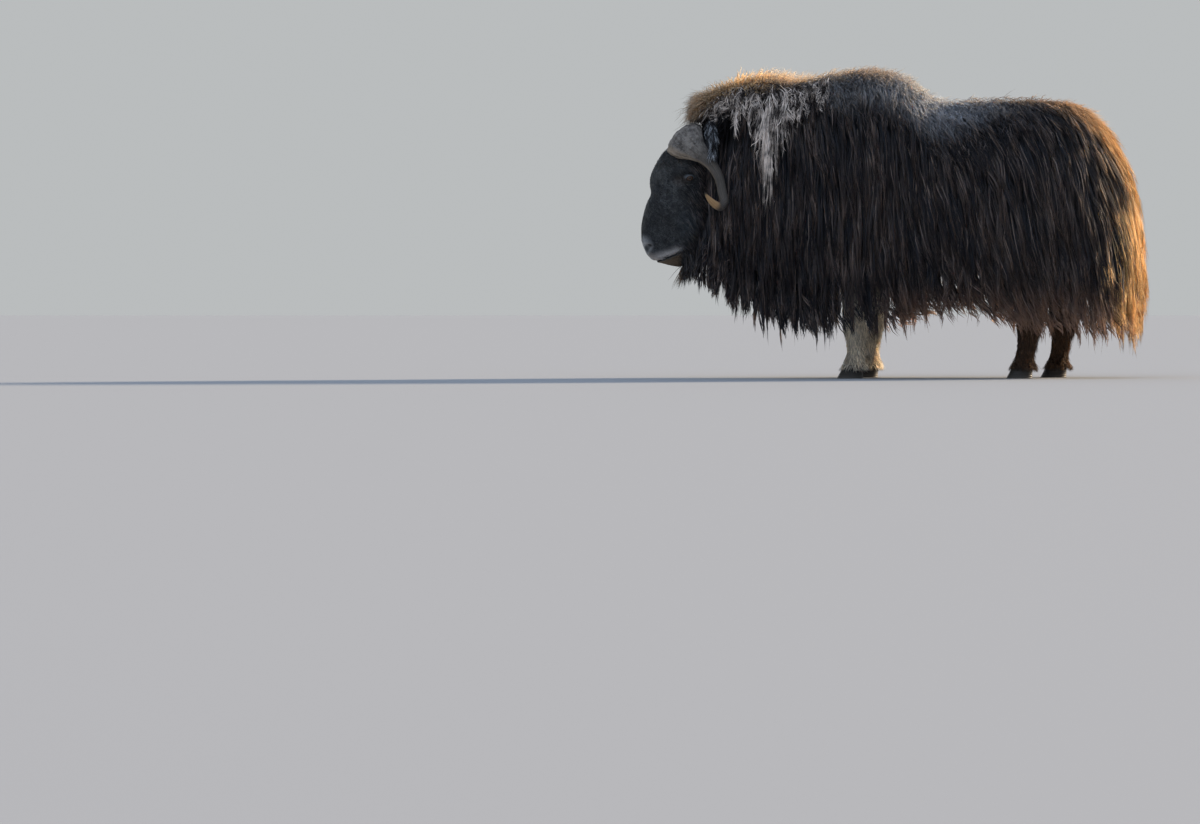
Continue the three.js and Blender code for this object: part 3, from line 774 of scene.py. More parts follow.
def lock_strands(locks, per_lock, random, rings=5):
    """Strands gathered in locks on the coat. Each lock has a place (around, down, side), a length (fall, as
    a share of the way down), a sweep towards the tail, tip_depth, width, proud, wave, rise, point and
    half_breadth."""
    repeated = {key: np.repeat(value, per_lock) for key, value in locks.items()}
    lock_count, count = len(locks["around"]), len(repeated["around"])
    t = np.linspace(0, 1, rings)[None]

    def draw(low, high):
        return random.uniform(low, high, count)[:, None]

    def column(key):
        return repeated[key][:, None]

    def per_strand(values):
        return np.repeat(values, per_lock)[:, None]

    phase = per_strand(random.uniform(0, 2 * np.pi, lock_count))
    waves = per_strand(random.uniform(0.7, 1.5, lock_count))
    own_place = draw(-1, 1)
    gathered = 1 - column("point") * t**0.8
    stray = (random.random(count)[:, None] < STRAND["stray"]) * draw(-1, 1)
    offset = column("width") * (own_place * gathered + stray * t * 0.7)
    sway = column("wave") * np.sin(phase + 2 * np.pi * waves * t) * t**0.8
    sway = sway + STRAND["sway"] * np.sin(draw(0, 6.28) + draw(4, 10) * t) * t
    around = folded(column("around") + (offset + sway + column("sweep") * t**1.3) / girth)
    fall = column("fall") * (1 - 0.22 * np.abs(own_place)) * draw(0.84, 1.02)
    down = np.maximum(column("down") + draw(-0.02, 0.02), 0.001) + fall * t
    tip_depth = column("tip_depth") + draw(-0.16, 0.16)
    depth = mixed(ROOT_DEPTH, tip_depth, t ** column("rise"))
    places = coat_point(around, down, column("side"), depth)
    outward = unit(places - coat_point(around, down, column("side"), depth + 1))
    places[..., 1] += draw(-1, 1) * STRAND["parted"] * np.exp(-column("down") / STRAND["parted_within"]) * t
    places += outward * (column("proud") * t)[..., None]
    roll = draw(-0.8, 0.8)[..., None] * unit(np.cross(outward, np.gradient(places, axis=1)))
    half_breadth = repeated["half_breadth"] * random.uniform(0.65, 1.2, count)
    breadth, thickness = tapered(half_breadth, half_breadth * 0.6, rings)
    shade = np.repeat(random.random(lock_count), per_lock) * 0.5 + random.random(count) * 0.45
    # painted highlight: a share of the strands take the palest shade, for strands that catch the light
    shade = np.where(random.random(count) < STRAND["painted_highlight"], 1.0, shade)
    return {
        "places": places,
        "outward": unit(outward + roll),
        "breadth": breadth,
        "thickness": thickness,
        "shade": shade,
        "map": coat_map(repeated["around"] + offset[:, 0] / girth, down[:, 0], repeated["side"]),
    }


def spread(low, high, spacing, random, jitter=0.5):
    """Places between two ends, even but not in step."""
    count = max(1, int(round((high - low) / spacing)))
    return low + (high - low) * (np.arange(count) + 0.5 + random.uniform(-jitter, jitter, count)) / count


def clear_of(points, line, radius):
    """Which strands keep clear of a bent rod, given by points along its middle and its radii."""
    near = np.full(points.shape[:2], np.inf)
    for middle, reach in zip(line, radius):
        near = np.minimum(near, np.linalg.norm(points - middle, axis=-1) - reach)
    return near[:, 1:].min(axis=1) > 0


EAR_ROOM = 34.0  # radius kept free round each ear, in mm
# Strands that stay behind these places, by x in mm, are clear of the horns and of the head
HORNS_REACH = -700
HEAD_REACH = -690


def head_line():
    """Points down the middle of the head, and the radius of the head there."""
    share = np.linspace(0.02, 0.96, 26)
    face_x, face_z, throat_x, throat_z, half_width, _ = head_section(share)
    depth = np.hypot(face_x - throat_x, face_z - throat_z) / 2
    found, radii = [], []
    for forward, slimmer in ((-0.45, 0.88), (0, 1.0), (0.4, 0.88)):
        reach = 0.5 + forward * 0.9
        middle = [mixed(face_x, throat_x, reach), 0 * share, mixed(face_z, throat_z, reach)]
        found.append(np.stack(middle, axis=-1))
        radii.append(np.minimum(half_width, depth) * slimmer)
    return np.concatenate(found), np.concatenate(radii)


def free_of_horns(strands, room=4, ears=True):
    """Strands that stay clear, by some room in mm, of the horns, the boss and the ears."""
    points = strands["places"]
    near = points[..., 0].min(axis=1) < HORNS_REACH
    checked = points[near]
    free = np.ones(len(checked), bool)
    x, y, z, breadth, thickness = horn_row(np.linspace(0.0, 0.99, 70))
    for side in (1, -1):
        for slip in (-0.5, 0, 0.5):
            middle = np.stack([x, side * y, z], axis=-1)
            middle = middle + BROW_SLOPE * (1, side, 1) * (slip * breadth)[:, None]
            reach = np.where(slip == 0, np.sqrt(breadth * thickness), thickness * 0.92)
            free &= clear_of(checked, middle, reach + room)
        if ears:
            root, tip = ear_frame(side)[:2]
            middle = root + (tip - root) * np.linspace(0.1, 1, 9)[:, None]
            free &= clear_of(checked, middle, np.full(9, EAR_ROOM))
    keep = np.ones(len(points), bool)
    keep[near] = free
    return chosen(strands, keep)


def free_of_eyes(strands):
    """Leaves out hair that would hang over an eye."""
    places = strands["places"]
    steps = np.concatenate([places, (places[:, 1:] + places[:, :-1]) / 2], axis=1)
    x, _, z = EYE["at"]
    off = np.hypot((steps[..., 0] - x) / EYE_CLEAR["half_wide"], (steps[..., 2] - z) / EYE_CLEAR["half_high"])
    over = (off < 1) & (np.abs(steps[..., 1]) > EYE_CLEAR["out"])
    return chosen(strands, ~over.any(axis=1))


def free_of_head(strands):
    """Strands that stay clear of the head and of all that stands on it."""
    points = strands["places"]
    near = points[..., 0].min(axis=1) < HEAD_REACH
    keep = np.ones(len(points), bool)
    keep[near] = clear_of(points[near], *head_line())
    return free_of_horns(chosen(strands, keep))


# Where the hair of the coat lies, by the share of the way round and down
FALL_BY_DOWN = smooth([(0, 0.09), (0.06, 0.13), (0.15, 0.22), (0.35, 0.3), (0.7, 0.32), (1, 0.26)])
SWEEP_BY_AROUND = smooth([(0, 0), (0.15, 6), (0.3, 20), (0.5, 42), (0.65, 54), (0.8, 36), (0.92, 12), (1, 0)])
# How wavy and how thinly set the hair at the hem is: the belly and the rear differ from the chest
HEM_WAVE = smooth([(0, 8), (0.3, 9), (0.42, 24), (0.6, 26), (0.8, 16), (1, 20)])
HEM_END = {"fewer_below": 0.9, "longest": 1.035}
# The edge of the mane over the brow, and the throat, between which the head comes out
BROW = {"around": 0.085, "edge": 0.2, "throat": 0.72, "overhang": 60}


# Rows of locks down the side, by share, and the gaps between the locks of a row, in mm
ROW_STEP = 0.044
LAST_ROW = 0.92
LOCK_GAP = {"crest": 30, "flank": 41, "crest_ends": 0.12}


def coat_locks(random):
    """Locks all over the coat, in rows from the crest down."""
    rows = {key: [] for key in ("around", "down", "side")}
    for side in SIDES.values():
        for down in spread(0, LAST_ROW, ROW_STEP, random, 0.2):
            gap = LOCK_GAP["crest" if down < LOCK_GAP["crest_ends"] else "flank"]
            for around in spread(0, 1, gap / girth, random):
                rows["around"].append(around)
                rows["down"].append(np.clip(down + random.uniform(-0.022, 0.022), 0, 0.93))
                rows["side"].append(side)
    locks = {key: np.array(value, float) for key, value in rows.items()}
    by_head = locks["around"] < BROW["around"]
    hidden = by_head & (locks["down"] > BROW["edge"]) & (locks["down"] < BROW["throat"])
    locks = chosen(locks, ~hidden)
    around, down, side = locks["around"], locks["down"], locks["side"]
    draw = drawer(random, len(around))
    over_brow = (around < BROW["around"]) & (down <= BROW["edge"])
    crest = np.exp(-down / 0.07)
    hem = smooth_step(down, 0.5, 0.8)
    parting = uneven_field(random, 9, 3)(around + 2 * side, down)
    fall = FALL_BY_DOWN(down)[0] * draw(0.8, 1.25)
    fall = np.where(over_brow, np.minimum(fall, 0.27 - down), fall)
    belly = np.exp(-(((around - 0.53) / 0.1) ** 2))
    reaches_hem = random.random(len(around)) < 0.42 + 0.4 * belly
    few = HEM_END["fewer_below"]
    end = np.where(reaches_hem, draw(few, HEM_END["longest"]), draw(0.8, few + 0.02))
    locks["fall"] = np.where(down + fall > end, np.maximum(end - down, 0.07), fall)
    sweep = SWEEP_BY_AROUND(around)[0] * draw(0.6, 1.4) * (1 - 0.5 * crest)
    locks["sweep"] = sweep + parting * 30 + draw(-10, 10)
    locks["tip_depth"] = mixed(draw(0.0, 0.55), 0.75, crest)
    locks["width"] = draw(17, 30) * (1 - 0.3 * crest)
    locks["proud"] = BROW["overhang"] * over_brow * (1 - around / BROW["around"]) * draw(0.6, 1.0)
    locks["wave"] = draw(-1, 1) * mixed(18, HEM_WAVE(around)[0], hem)
    locks["rise"] = mixed(0.75, 0.9, crest)
    locks["point"] = mixed(draw(0.6, 0.85), draw(0.82, 0.95), hem)
    locks["half_breadth"] = mixed(draw(2.6, 4.0), draw(2.1, 3.4), hem) * (1 - 0.3 * crest)
    return locks


# Upright hair along the back, by x: length, lift, lie towards the tail, curl
RIM_HAIR = smooth([
    (-960, 84, 0.66, -0.5, 7),
    (-860, 98, 0.68, -0.15, 9),
    (-700, 104, 0.7, 0.2, 10),
    (-560, 98, 0.68, 0.45, 10),
    (-300, 80, 0.62, 0.7, 9),
    (-60, 72, 0.6, 0.8, 8),
    (120, 62, 0.5, 0.9, 7),
    (450, 60, 0.42, 1, 6),
    (700, 72, 0.28, 0.8, 7),
    (850, 95, 0.12, 0.45, 8),
    (950, 120, 0.08, 0.2, 9),
    (1160, 170, 0.06, 0.05, 12),
])


def back_hair(count, deepest, random):
    """Roots along the back down to a share of the flank, with the way out and the way down there."""
    around, side = random.random(count), random.choice([-1.0, 1.0], count)
    down = deepest * random.random(count) ** 0.8
    depth = np.full(count, SKIN_DEPTH)
    roots = coat_point(around, down, side, depth)
    outward = unit(coat_point(around, down, side, np.zeros(count)) - roots)
    below = coat_point(around, down + 0.02, side, depth)
    return around, down, side, roots, outward, unit(below - roots)


def picked_from(values, picked):
    return [value[picked] for value in values]


def rim_strands(count, random):
    """Short fuzzy hair that stands along the outline of the back."""
    around, down, side, roots, outward, downhill = back_hair(count, 0.15, random)
    length, lift, backward, curl = RIM_HAIR(roots[:, 0])
    uneven = uneven_field(random, 26, 5)(around + 2 * side, down)
    backward = np.stack([backward, 0 * backward, 0 * backward], axis=-1)
    lie = unit(downhill * (0.35 + 0.2 * uneven)[:, None] + backward)
    lie += random.normal(0, 0.2, (count, 3))
    outward = unit(outward + random.normal(0, 0.16, (count, 3)))
    draw = drawer(random, count)
    return tufts(
        roots + DOWN * 6, outward, unit(lie), coat_map(around, down, side), random,
        length=length * draw(0.7, 1.15) * (1 + 0.15 * uneven), lift=lift * draw(0.75, 1.15),
        curl=curl, turns=draw(0.8, 1.6), half_breadth=draw(1.5, 2.4),
    )


# Woolly hair under the hump and in the saddle, by x: how much of it there is and how deep it reaches
WOOL = smooth([
    (-480, 0, 0.18),
    (-300, 0.7, 0.26),
    (0, 0.8, 0.3),
    (180, 1, 0.36),
    (330, 1, 0.35),
    (520, 0.5, 0.27),
    (700, 0, 0.2),
])


def wool_strands(count, random):
    """Crimped wool that lies over the coat under the hump and in the saddle."""
    hair = back_hair(count * 3, 0.42, random)
    down, roots = hair[1], hair[3]
    amount, deepest = WOOL(roots[:, 0])
    picked = np.flatnonzero((random.random(count * 3) < amount) & (down < deepest) & (down > 0.03))[:count]
    around, down, side, roots, outward, downhill = picked_from(hair, picked)
    lie = unit(downhill + random.normal(0, 0.3, (len(picked), 3)) + np.array((0.35, 0, 0)))
    draw = drawer(random, len(picked))
    return tufts(
        roots + outward * 26, outward, lie, coat_map(around, down, side), random,
        length=draw(50, 85), lift=draw(0.15, 0.4), curl=draw(4, 9), turns=draw(1.0, 2.0),
        half_breadth=draw(1.6, 2.6), droop=0.3,
    )


# Pale matted locks that hang from the mane: x of the root, length
MATTED = np.array([
    (-850, 45),
    (-770, 60),
    (-742, 210),
    (-712, 130),
    (-660, 210),
    (-605, 330),
    (-570, 560),
    (-540, 330),
    (-490, 190),
    (-400, 110),
    (-320, 60),
], float)
# Single long locks among them
LONG_MATTED = [(-745, 230), (-622, 330), (-600, 400), (-584, 480), (-576, 560), (-570, 530), (-556, 400)]
MATTED_SPAN = 1250  # mm from the crest to the hem, where they hang
MATTED_FROM, MATTED_TO = -850, -320
MATTED_SPACING = 10.5
MATTED_LAYERS = 2


def matted_top(x):
    """The share of the way down at which the matted wool starts."""
    return mixed(0.2, 0.16, (x - MATTED_FROM) / (MATTED_TO - MATTED_FROM))


def matted_length(x):
    return np.interp(x, MATTED[:, 0], MATTED[:, 1])


def matted_locks(random):
    """Ragged crimped locks of shed wool over the neck, in world places turned into shares of the coat."""
    shares = np.linspace(0.02, 0.6, 300)
    x_there = coat_point(shares, np.full(300, 0.3), np.ones(300), np.zeros(300))[:, 0]
    rows = []
    for side in SIDES.values():
        for x in spread(MATTED_FROM, MATTED_TO, MATTED_SPACING, random, 1.2):
            for _ in range(MATTED_LAYERS):
                down = matted_top(x) + random.uniform(-0.05, 0.07)
                rows.append((x, down, side, matted_length(x) * random.uniform(0.35, 1.0)))
        for x, length in LONG_MATTED:
            rows.append((x, random.uniform(0.2, 0.24), side, length))
    x, down, side, length = np.array(rows, float).T
    draw = drawer(random, len(x))
    return {
        "around": np.interp(x, x_there, shares),
        "down": down,
        "side": side,
        "fall": np.maximum(length / MATTED_SPAN, 0.03),
        "sweep": draw(-34, 34),
        "tip_depth": draw(-0.2, 0.1),
        "width": draw(6, 14),
        "proud": draw(0, 6),
        "wave": draw(-17, 17),
        "rise": np.full(len(x), 0.35),
        "point": draw(0.3, 0.75),
        "half_breadth": draw(2.0, 3.2),
    }


# Tangled wool: both ends by x, how far above the matted locks it starts and how deep it reaches, as shares
# of the way down, and the length of the locks in mm past which it reaches deeper
TANGLE = {"front": -860, "back": -310, "above": 0.07, "depth": 0.09, "deeper": 0.8, "past": 130}


def tangled_strands(count, random):
    """Curly shed wool from which the matted locks hang."""
    hair = back_hair(count * 14, 0.62, random)
    around, down, side, roots = hair[:4]
    x = roots[:, 0]
    top = matted_top(x) - TANGLE["above"]
    clumps = uneven_field(random, 30, 12)(around + 2 * side, down)
    longer = np.maximum(matted_length(x) - TANGLE["past"], 0)
    reach = TANGLE["depth"] + TANGLE["deeper"] * longer / MATTED_SPAN
    inside = (x > TANGLE["front"]) & (x < TANGLE["back"]) & (clumps > -0.4)
    inside &= (down > top) & (down < top + reach * (1 + 0.3 * clumps))
    picked = np.flatnonzero(inside)[:count]
    around, down, side, roots, outward, downhill = picked_from(hair, picked)
    lie = unit(downhill + random.normal(0, 0.42, (len(picked), 3)))
    draw = drawer(random, len(picked))
    return tufts(
        roots + outward * draw(24, 46)[:, None], outward, lie, coat_map(around, down, side), random,
        rings=5, length=draw(45, 95), lift=draw(0.08, 0.4), curl=draw(5, 12), turns=draw(0.7, 1.5),
        half_breadth=draw(1.8, 3.4), droop=0.8,
    )


def surface_roots(place, count, weight, random):
    """Roots spread over a form by a weight, with the way out of it and their two shares."""
    many = count * 8
    u, v = random.random(many), random.uniform(0.01, 0.99, many)
    step = 2e-3
    here = place(u, v)
    normals = np.cross(place(u + step, v) - here, place(u, v + step) - here)
    area = np.linalg.norm(normals, axis=-1)
    normals = unit(normals)
    if np.sum(normals * (here - here.mean(axis=0))) < 0:
        normals = -normals
    chance = area * weight(here, normals)
    picked = random.choice(many, count, replace=False, p=chance / chance.sum())
    return here[picked], normals[picked], np.stack([u[picked], v[picked]], axis=-1)


def flat_along(direction, normals):
    """A direction laid flat on the skin."""
    return unit(direction - normals * np.sum(direction * normals, axis=-1, keepdims=True))


# The bare pad of the nose, and how far apart the lips are bare, in mm
NOSE_PAD = {"behind": -1112, "bottom": 556, "top": 624}
BARE_LIP = 5
FACE_ENDS = -868  # behind this the head lies inside the neck


def bare_face(points):
    """Where the face has no tufts: eyes, nose pad, lips, and all that lies inside the neck."""
    x, y, z = points[:, 0], np.abs(points[:, 1]), points[:, 2]
    round_eye = (out_of_eye(*eye_plane(points, 1)) < 1.7) & (y > 60)
    line = np.array(MOUTH_LINE, float)
    in_mouth = (np.abs(z - np.interp(x, line[:, 0], line[:, 1])) < BARE_LIP) & (x < line[-1, 0])
    pad = (x < NOSE_PAD["behind"]) & (z > NOSE_PAD["bottom"]) & (z < NOSE_PAD["top"])
    return round_eye | pad | in_mouth | (x > FACE_ENDS)


# Zones of the head that fade in by x and by height, in mm
ZONES = {
    "cheek": ((-1010, -890), (1010, 900)),
    "brow": ((-960, -1040), (930, 1010)),
    "jaw": ((-1010, -960), (640, 540)),
    "lips": ((-985, -1020), (600, 560)),
    "throat": ((-962, -935), (640, 570)),
}
# Length of the hair of the face in mm, how much longer it is in some zones, and its share at the lips
FACE_HAIR = {"length": 13, "cheek": 30, "brow": 16, "jaw": 26, "at_lips": 0.5}


def in_zone(zone, x, z):
    along, upright = ZONES[zone]
    return smooth_step(x, *along) * smooth_step(z, *upright)


def face_strands(count, random):
    """Short hair of the face, longer towards the cheeks, the jaw and the brow."""
    roots, normals, shares = surface_roots(
        head_surface, count, lambda points, _: np.where(bare_face(points), 0.0, 1.0), random
    )
    x, _, z = roots.T
    length = FACE_HAIR["length"]
    for zone in ("cheek", "brow", "jaw"):
        length = length + FACE_HAIR[zone] * in_zone(zone, x, z)
    length = length * (1 - FACE_HAIR["at_lips"] * in_zone("lips", x, z))
    cheek = in_zone("cheek", x, z)
    back = np.stack([0.9 + 0 * x, 0 * x, -0.75 + 0.35 * smooth_step(z, 700, 900)], axis=-1)
    lie = flat_along(back + random.normal(0, 0.16, (count, 3)), normals)
    draw = drawer(random, count)
    return tufts(
        roots - normals, normals, lie, shares * 0.98 + 0.01, random, rings=3,
        length=length * draw(0.7, 1.3), lift=draw(0.1, 0.26), droop=0.5 * cheek,
        half_breadth=draw(0.8, 1.3) * (1 + 0.5 * cheek),
    )


# Long hair of the cheeks: where it fades in, where it ends inside the neck, and its top, in mm
CHEEK_HAIR = {"fades_in": (-975, -915), "ends": -862, "top": 1060, "length": 72, "at_throat": 130}


def cheek_strands(count, random):
    """Longer hair from the back of the cheeks and the throat, which hides where the head meets the neck."""

    def weight(points, _):
        x, _, z = points.T
        rear = smooth_step(x, *CHEEK_HAIR["fades_in"]) * (x < CHEEK_HAIR["ends"]) * (z < CHEEK_HAIR["top"])
        return np.clip(rear + in_zone("throat", x, z), 0, 1) + 1e-9

    roots, normals, shares = surface_roots(head_surface, count, weight, random)
    y, z = roots.T[1:]
    throat = smooth_step(z, 650, 560)
    back = np.stack([0.75 - 0.45 * throat, 0.25 * np.sign(y), -0.7 - 0.5 * throat], axis=-1)
    lie = flat_along(back + random.normal(0, 0.12, (count, 3)), normals)
    draw = drawer(random, count)
    return tufts(
        roots - normals * 2, normals, lie, shares * 0.98 + 0.01, random,
        length=mixed(CHEEK_HAIR["length"], CHEEK_HAIR["at_throat"], throat) * draw(0.6, 1.2),
        lift=draw(0.08, 0.3), droop=0.9,
        curl=draw(1, 5), half_breadth=draw(1.4, 2.4),
    )


# The fringe of the poll grows over this share of the way round from the brow, above this height in mm
POLL = {"around": 0.14, "above": 1130}


def poll_strands(count, random):
    """The fringe of the mane that falls over the poll behind the boss."""
    hair = back_hair(count * 9, 0.36, random)
    around, roots = hair[0], hair[3]
    picked = np.flatnonzero((around < POLL["around"]) & (roots[:, 2] > POLL["above"]))[:count]
    around, down, side, roots, outward, downhill = picked_from(hair, picked)
    count = len(picked)
    ahead = np.array((-1.0, 0, -0.5))
    lie = unit(ahead + 0.5 * downhill + random.normal(0, 0.25, (count, 3)))
    draw = drawer(random, count)
    return tufts(
        roots, outward, lie, coat_map(around, down, side), random,
        length=draw(60, 122) * np.where(random.random(count) < 0.2, 1.35, 1), lift=draw(0.15, 0.6),
        droop=draw(0.3, 1.5), curl=draw(3, 9), turns=1.3, half_breadth=draw(1.6, 2.6),
    )


# Hair of the chest: share of the way round, both ends by x, how far above the edge of the skin it grows,
# and how far it ends above the hem, in mm
CHEST = {"around": (0.03, 0.4), "front": -880, "back": -310, "above_edge": 60, "above_hem": (30, 170)}


def chest_strands(count, random):
    """Hair of the throat and chest that hangs between the two sides of the coat, down to their hem."""
    around, side = random.uniform(*CHEST["around"], count), random.choice([-1.0, 1.0], count)
    hem = coat_point(around, np.ones(count), side, np.zeros(count))
    edge = coat_point(around, np.full(count, SKIN_END), side, np.ones(count))
    x, y, z = edge.T
    roots = np.stack([x, y * random.uniform(0, 0.85, count), z + CHEST["above_edge"]], axis=-1)
    clear = (x < CHEST["back"]) & (x > CHEST["front"])
    roots, hem, around, side = picked_from((roots, hem, around, side), clear)
    count = len(roots)
    outward = np.stack([np.full(count, -0.4), side, np.zeros(count)], axis=-1)
    lie = DOWN + random.normal(0, 0.06, (count, 3)) + np.array((0.05, 0, 0))
    draw = drawer(random, count)
    return tufts(
        roots, unit(outward), unit(lie), coat_map(around, np.full(count, 0.94), side), random, rings=5,
        length=roots[:, 2] - hem[:, 2] - draw(*CHEST["above_hem"]), lift=draw(-0.06, 0.1), droop=0.1,
        curl=draw(4, 14), turns=draw(0.8, 1.6), half_breadth=draw(2.6, 4.2),
    )


def ear_strands(side, count, random):
    """Hair over the ear, of lengths drawn at random, lying out along the ear and drooping."""
    place = ear_surface(side)
    roots, normals, shares = surface_roots(place, count, lambda points, _: np.ones(len(points)), random)
    along = ear_frame(side)[2]
    lie = flat_along(along + random.normal(0, 0.3, (count, 3)) + DOWN * 0.3, normals)
    draw = drawer(random, count)
    return tufts(
        roots, normals, lie, shares * 0.98 + 0.01, random,
        length=draw(22, 52), lift=draw(0.15, 0.5), droop=0.6, curl=2.5, half_breadth=draw(1.1, 1.9),
    )


# Hair of the legs, by height in mm: where it ends above, under the coat, and below, at the hoof
LEG_HAIR_TOP = {"front": 330, "hind": 300}
LEG_HAIR_END = 54


def leg_strands(name, count, random):
    """Woolly hair on a leg, longer at its back and above the hoof."""
    top = LEG_HAIR_TOP[name.split("_")[0]]
    roots, normals, shares = surface_roots(
        leg_surface(*LEGS[name]), count, lambda p, _: (p[:, 2] < top) * 1.0 * (p[:, 2] > LEG_HAIR_END), random
    )
    behind = smooth_step(normals[:, 0], 0, 0.9)
    pastern = smooth_step(roots[:, 2], 110, 62)
    lie = flat_along(DOWN + np.array((0.12, 0, 0)) + random.normal(0, 0.22, (count, 3)), normals)
    draw = drawer(random, count)
    length = (24 + 22 * behind + 6 * pastern) * draw(0.7, 1.3)
    length = np.minimum(length + 12 * pastern, np.maximum(roots[:, 2] - 16, 12))
    return tufts(
        roots - normals, normals, lie, shares * 0.98 + 0.01, random, rings=3,
        length=length, lift=draw(0.12, 0.34) + 0.1 * behind + 0.32 * pastern, curl=draw(1, 4),
        turns=1.5, half_breadth=draw(1.3, 2.1),
    )


# Materials

class Shade:
    """A value, a colour or a place inside a shader, which takes plain arithmetic."""

    def __init__(self, tree, socket):
        self.tree = tree
        self.socket = socket

    def worked(self, operation, *values):
        return shade_from(self.tree, "ShaderNodeMath", dict(enumerate(values)), operation=operation)

    def __add__(self, other):
        return self.worked("ADD", self, other)

    def __sub__(self, other):
        return self.worked("SUBTRACT", self, other)

    def __rsub__(self, other):
        return self.worked("SUBTRACT", other, self)

    def __mul__(self, other):
        return self.worked("MULTIPLY", self, other)

    def __truediv__(self, other):
        return self.worked("DIVIDE", self, other)

    def __pow__(self, other):
        return self.worked("POWER", self, other)

    def __abs__(self):
        return self.worked("ABSOLUTE", self)

    def sine(self):
        return self.worked("SINE", self)


def feed(node, name, value):
    """Links a shade to an input of a node, or gives the input a value of its own."""
    if isinstance(value, Shade):
        value.tree.links.new(value.socket, node.inputs[name])
    else:
        node.inputs[name].default_value = value


def shader_node(tree, kind, values=None, **settings):
    """Adds a shader node with its settings, and the values or shades of its inputs."""
    made = tree.nodes.new(kind)
    for name, value in settings.items():
        setattr(made, name, value)
    for name, value in (values or {}).items():
        feed(made, name, value)
    return made


def shade_from(tree, kind, values=None, output=0, **settings):
    """What a new shader node puts out."""
    return Shade(tree, shader_node(tree, kind, values, **settings).outputs[output])


def between(value, low, high, start=0.0, end=1.0):
    """A soft step of a value from start to end as it passes from low to high."""
    values = {"Value": value, "From Min": low, "From Max": high, "To Min": start, "To Max": end}
    return shade_from(value.tree, "ShaderNodeMapRange", values, interpolation_type="SMOOTHSTEP")


def falling(value, low, high):
    """1 up to low, and softly down to 0 at high."""
    return between(value, low, high, 1.0, 0.0)


def blended(share, first, second):
    """A colour between two colours."""
    first, second = (colour if isinstance(colour, Shade) else (*colour, 1) for colour in (first, second))
    return shade_from(share.tree, "ShaderNodeMix", {0: share, 6: first, 7: second}, 2, data_type="RGBA")


def share_along(value, points):
    """How far along some points a value lies, and a function that says the same of any place."""
    low, high = points[0][0], points[-1][0]
    share = shade_from(value.tree, "ShaderNodeMapRange", {"Value": value, "From Min": low, "From Max": high})
    return share, lambda place: (place - low) / (high - low)


def curve_of(value, points, tallest=1.0):
    """A value read from a smooth curve through points of place and height, up to the tallest."""
    share, share_of = share_along(value, points)
    made = shader_node(value.tree, "ShaderNodeFloatCurve", {"Value": share})
    line = made.mapping.curves[0]
    for place, height in points[1:-1]:
        line.points.new(share_of(place), height / tallest)
    line.points[0].location = (0, points[0][1] / tallest)
    line.points[-1].location = (1, points[-1][1] / tallest)
    made.mapping.update()
    return Shade(value.tree, made.outputs[0]) * tallest


def colour_along(value, stops):
    """A colour read from stops of place and colour."""
    share, share_of = share_along(value, stops)
    made = shader_node(value.tree, "ShaderNodeValToRGB", {"Fac": share})
    ramp = made.color_ramp
    ramp.interpolation = "EASE"
    for place, colour in stops[1:-1]:
        ramp.elements.new(share_of(place)).color = (*colour, 1)
    ramp.elements[0].color = (*stops[0][1], 1)
    ramp.elements[-1].color = (*stops[-1][1], 1)
    return Shade(value.tree, made.outputs[0])


def object_place(tree):
    return shade_from(tree, "ShaderNodeTexCoord", output="Object")


def axes_of(place):
    """The three values that make up a place."""
    made = shader_node(place.tree, "ShaderNodeSeparateXYZ", {0: place})
    return [Shade(place.tree, output) for output in made.outputs]


def one_side(place):
    """A place with both sides of the body folded onto one."""
    x, y, z = axes_of(place)
    return shade_from(place.tree, "ShaderNodeCombineXYZ", {0: x, 1: abs(y), 2: z})


def noise(place, scale, detail, roughness=0.5):
    """A smooth uneven value from 0 to 1, finer for a larger scale."""
    values = {"Vector": place, "Scale": scale, "Detail": detail, "Roughness": roughness}
    return shade_from(place.tree, "ShaderNodeTexNoise", values)


def vector_maths(operation, *values, output=0):
    kind = "ShaderNodeVectorMath"
    return shade_from(values[0].tree, kind, dict(enumerate(values)), output, operation=operation)


def patch_at(place, middle, radii):
    """A soft patch round a place: 1 in its middle."""
    scaled = vector_maths("DIVIDE", vector_maths("SUBTRACT", place, middle), radii)
    return falling(vector_maths("LENGTH", scaled, output="Value"), 0.5, 1.15)


def add_bumps(surface, height, strength, distance):
    """Raises a surface by a height, up to a distance in metres."""
    values = {"Height": height, "Strength": strength, "Distance": distance}
    feed(surface, "Normal", shade_from(height.tree, "ShaderNodeBump", values))


def shader_group(name, inputs, outputs):
    tree = bpy.data.node_groups.new(name, "ShaderNodeTree")
    for socket, kind in inputs:
        tree.interface.new_socket(socket, in_out="INPUT", socket_type=kind)
    for socket, kind in outputs:
        tree.interface.new_socket(socket, in_out="OUTPUT", socket_type=kind)
    return tree, tree.nodes.new("NodeGroupInput"), tree.nodes.new("NodeGroupOutput")


# Height of the outline of the back by x, in metres, and how deep the pale, partly painted backlit rim and the
# grey below it reach
BACK_OUTLINE = [
    (-1.0, 1.3), (-0.95, 1.26), (-0.894, 1.3), (-0.803, 1.356), (-0.576, 1.401), (-0.439, 1.385),
    (-0.257, 1.42), (-0.121, 1.43), (0.016, 1.397), (0.107, 1.329), (0.2, 1.299), (0.5, 1.3),
    (0.744, 1.288), (0.835, 1.242), (0.926, 1.183), (1.017, 1.074), (1.108, 0.965), (1.2, 0.85),
]
TALLEST = 1.5
PALE_AND_BACKLIT_RIM_DEPTH = [
    (-1.0, 0.12), (-0.8, 0.1), (-0.5, 0.065), (-0.12, 0.055), (0.15, 0.03), (0.5, 0.04),
    (0.8, 0.09), (1.0, 0.14), (1.08, 0.26), (1.2, 0.42),
]
GREY_DEPTH = [
    (-1.0, 0.0), (-0.45, 0.02), (-0.25, 0.13), (0.0, 0.16), (0.2, 0.155), (0.42, 0.1),
    (0.65, 0.03), (1.2, 0.0),
]
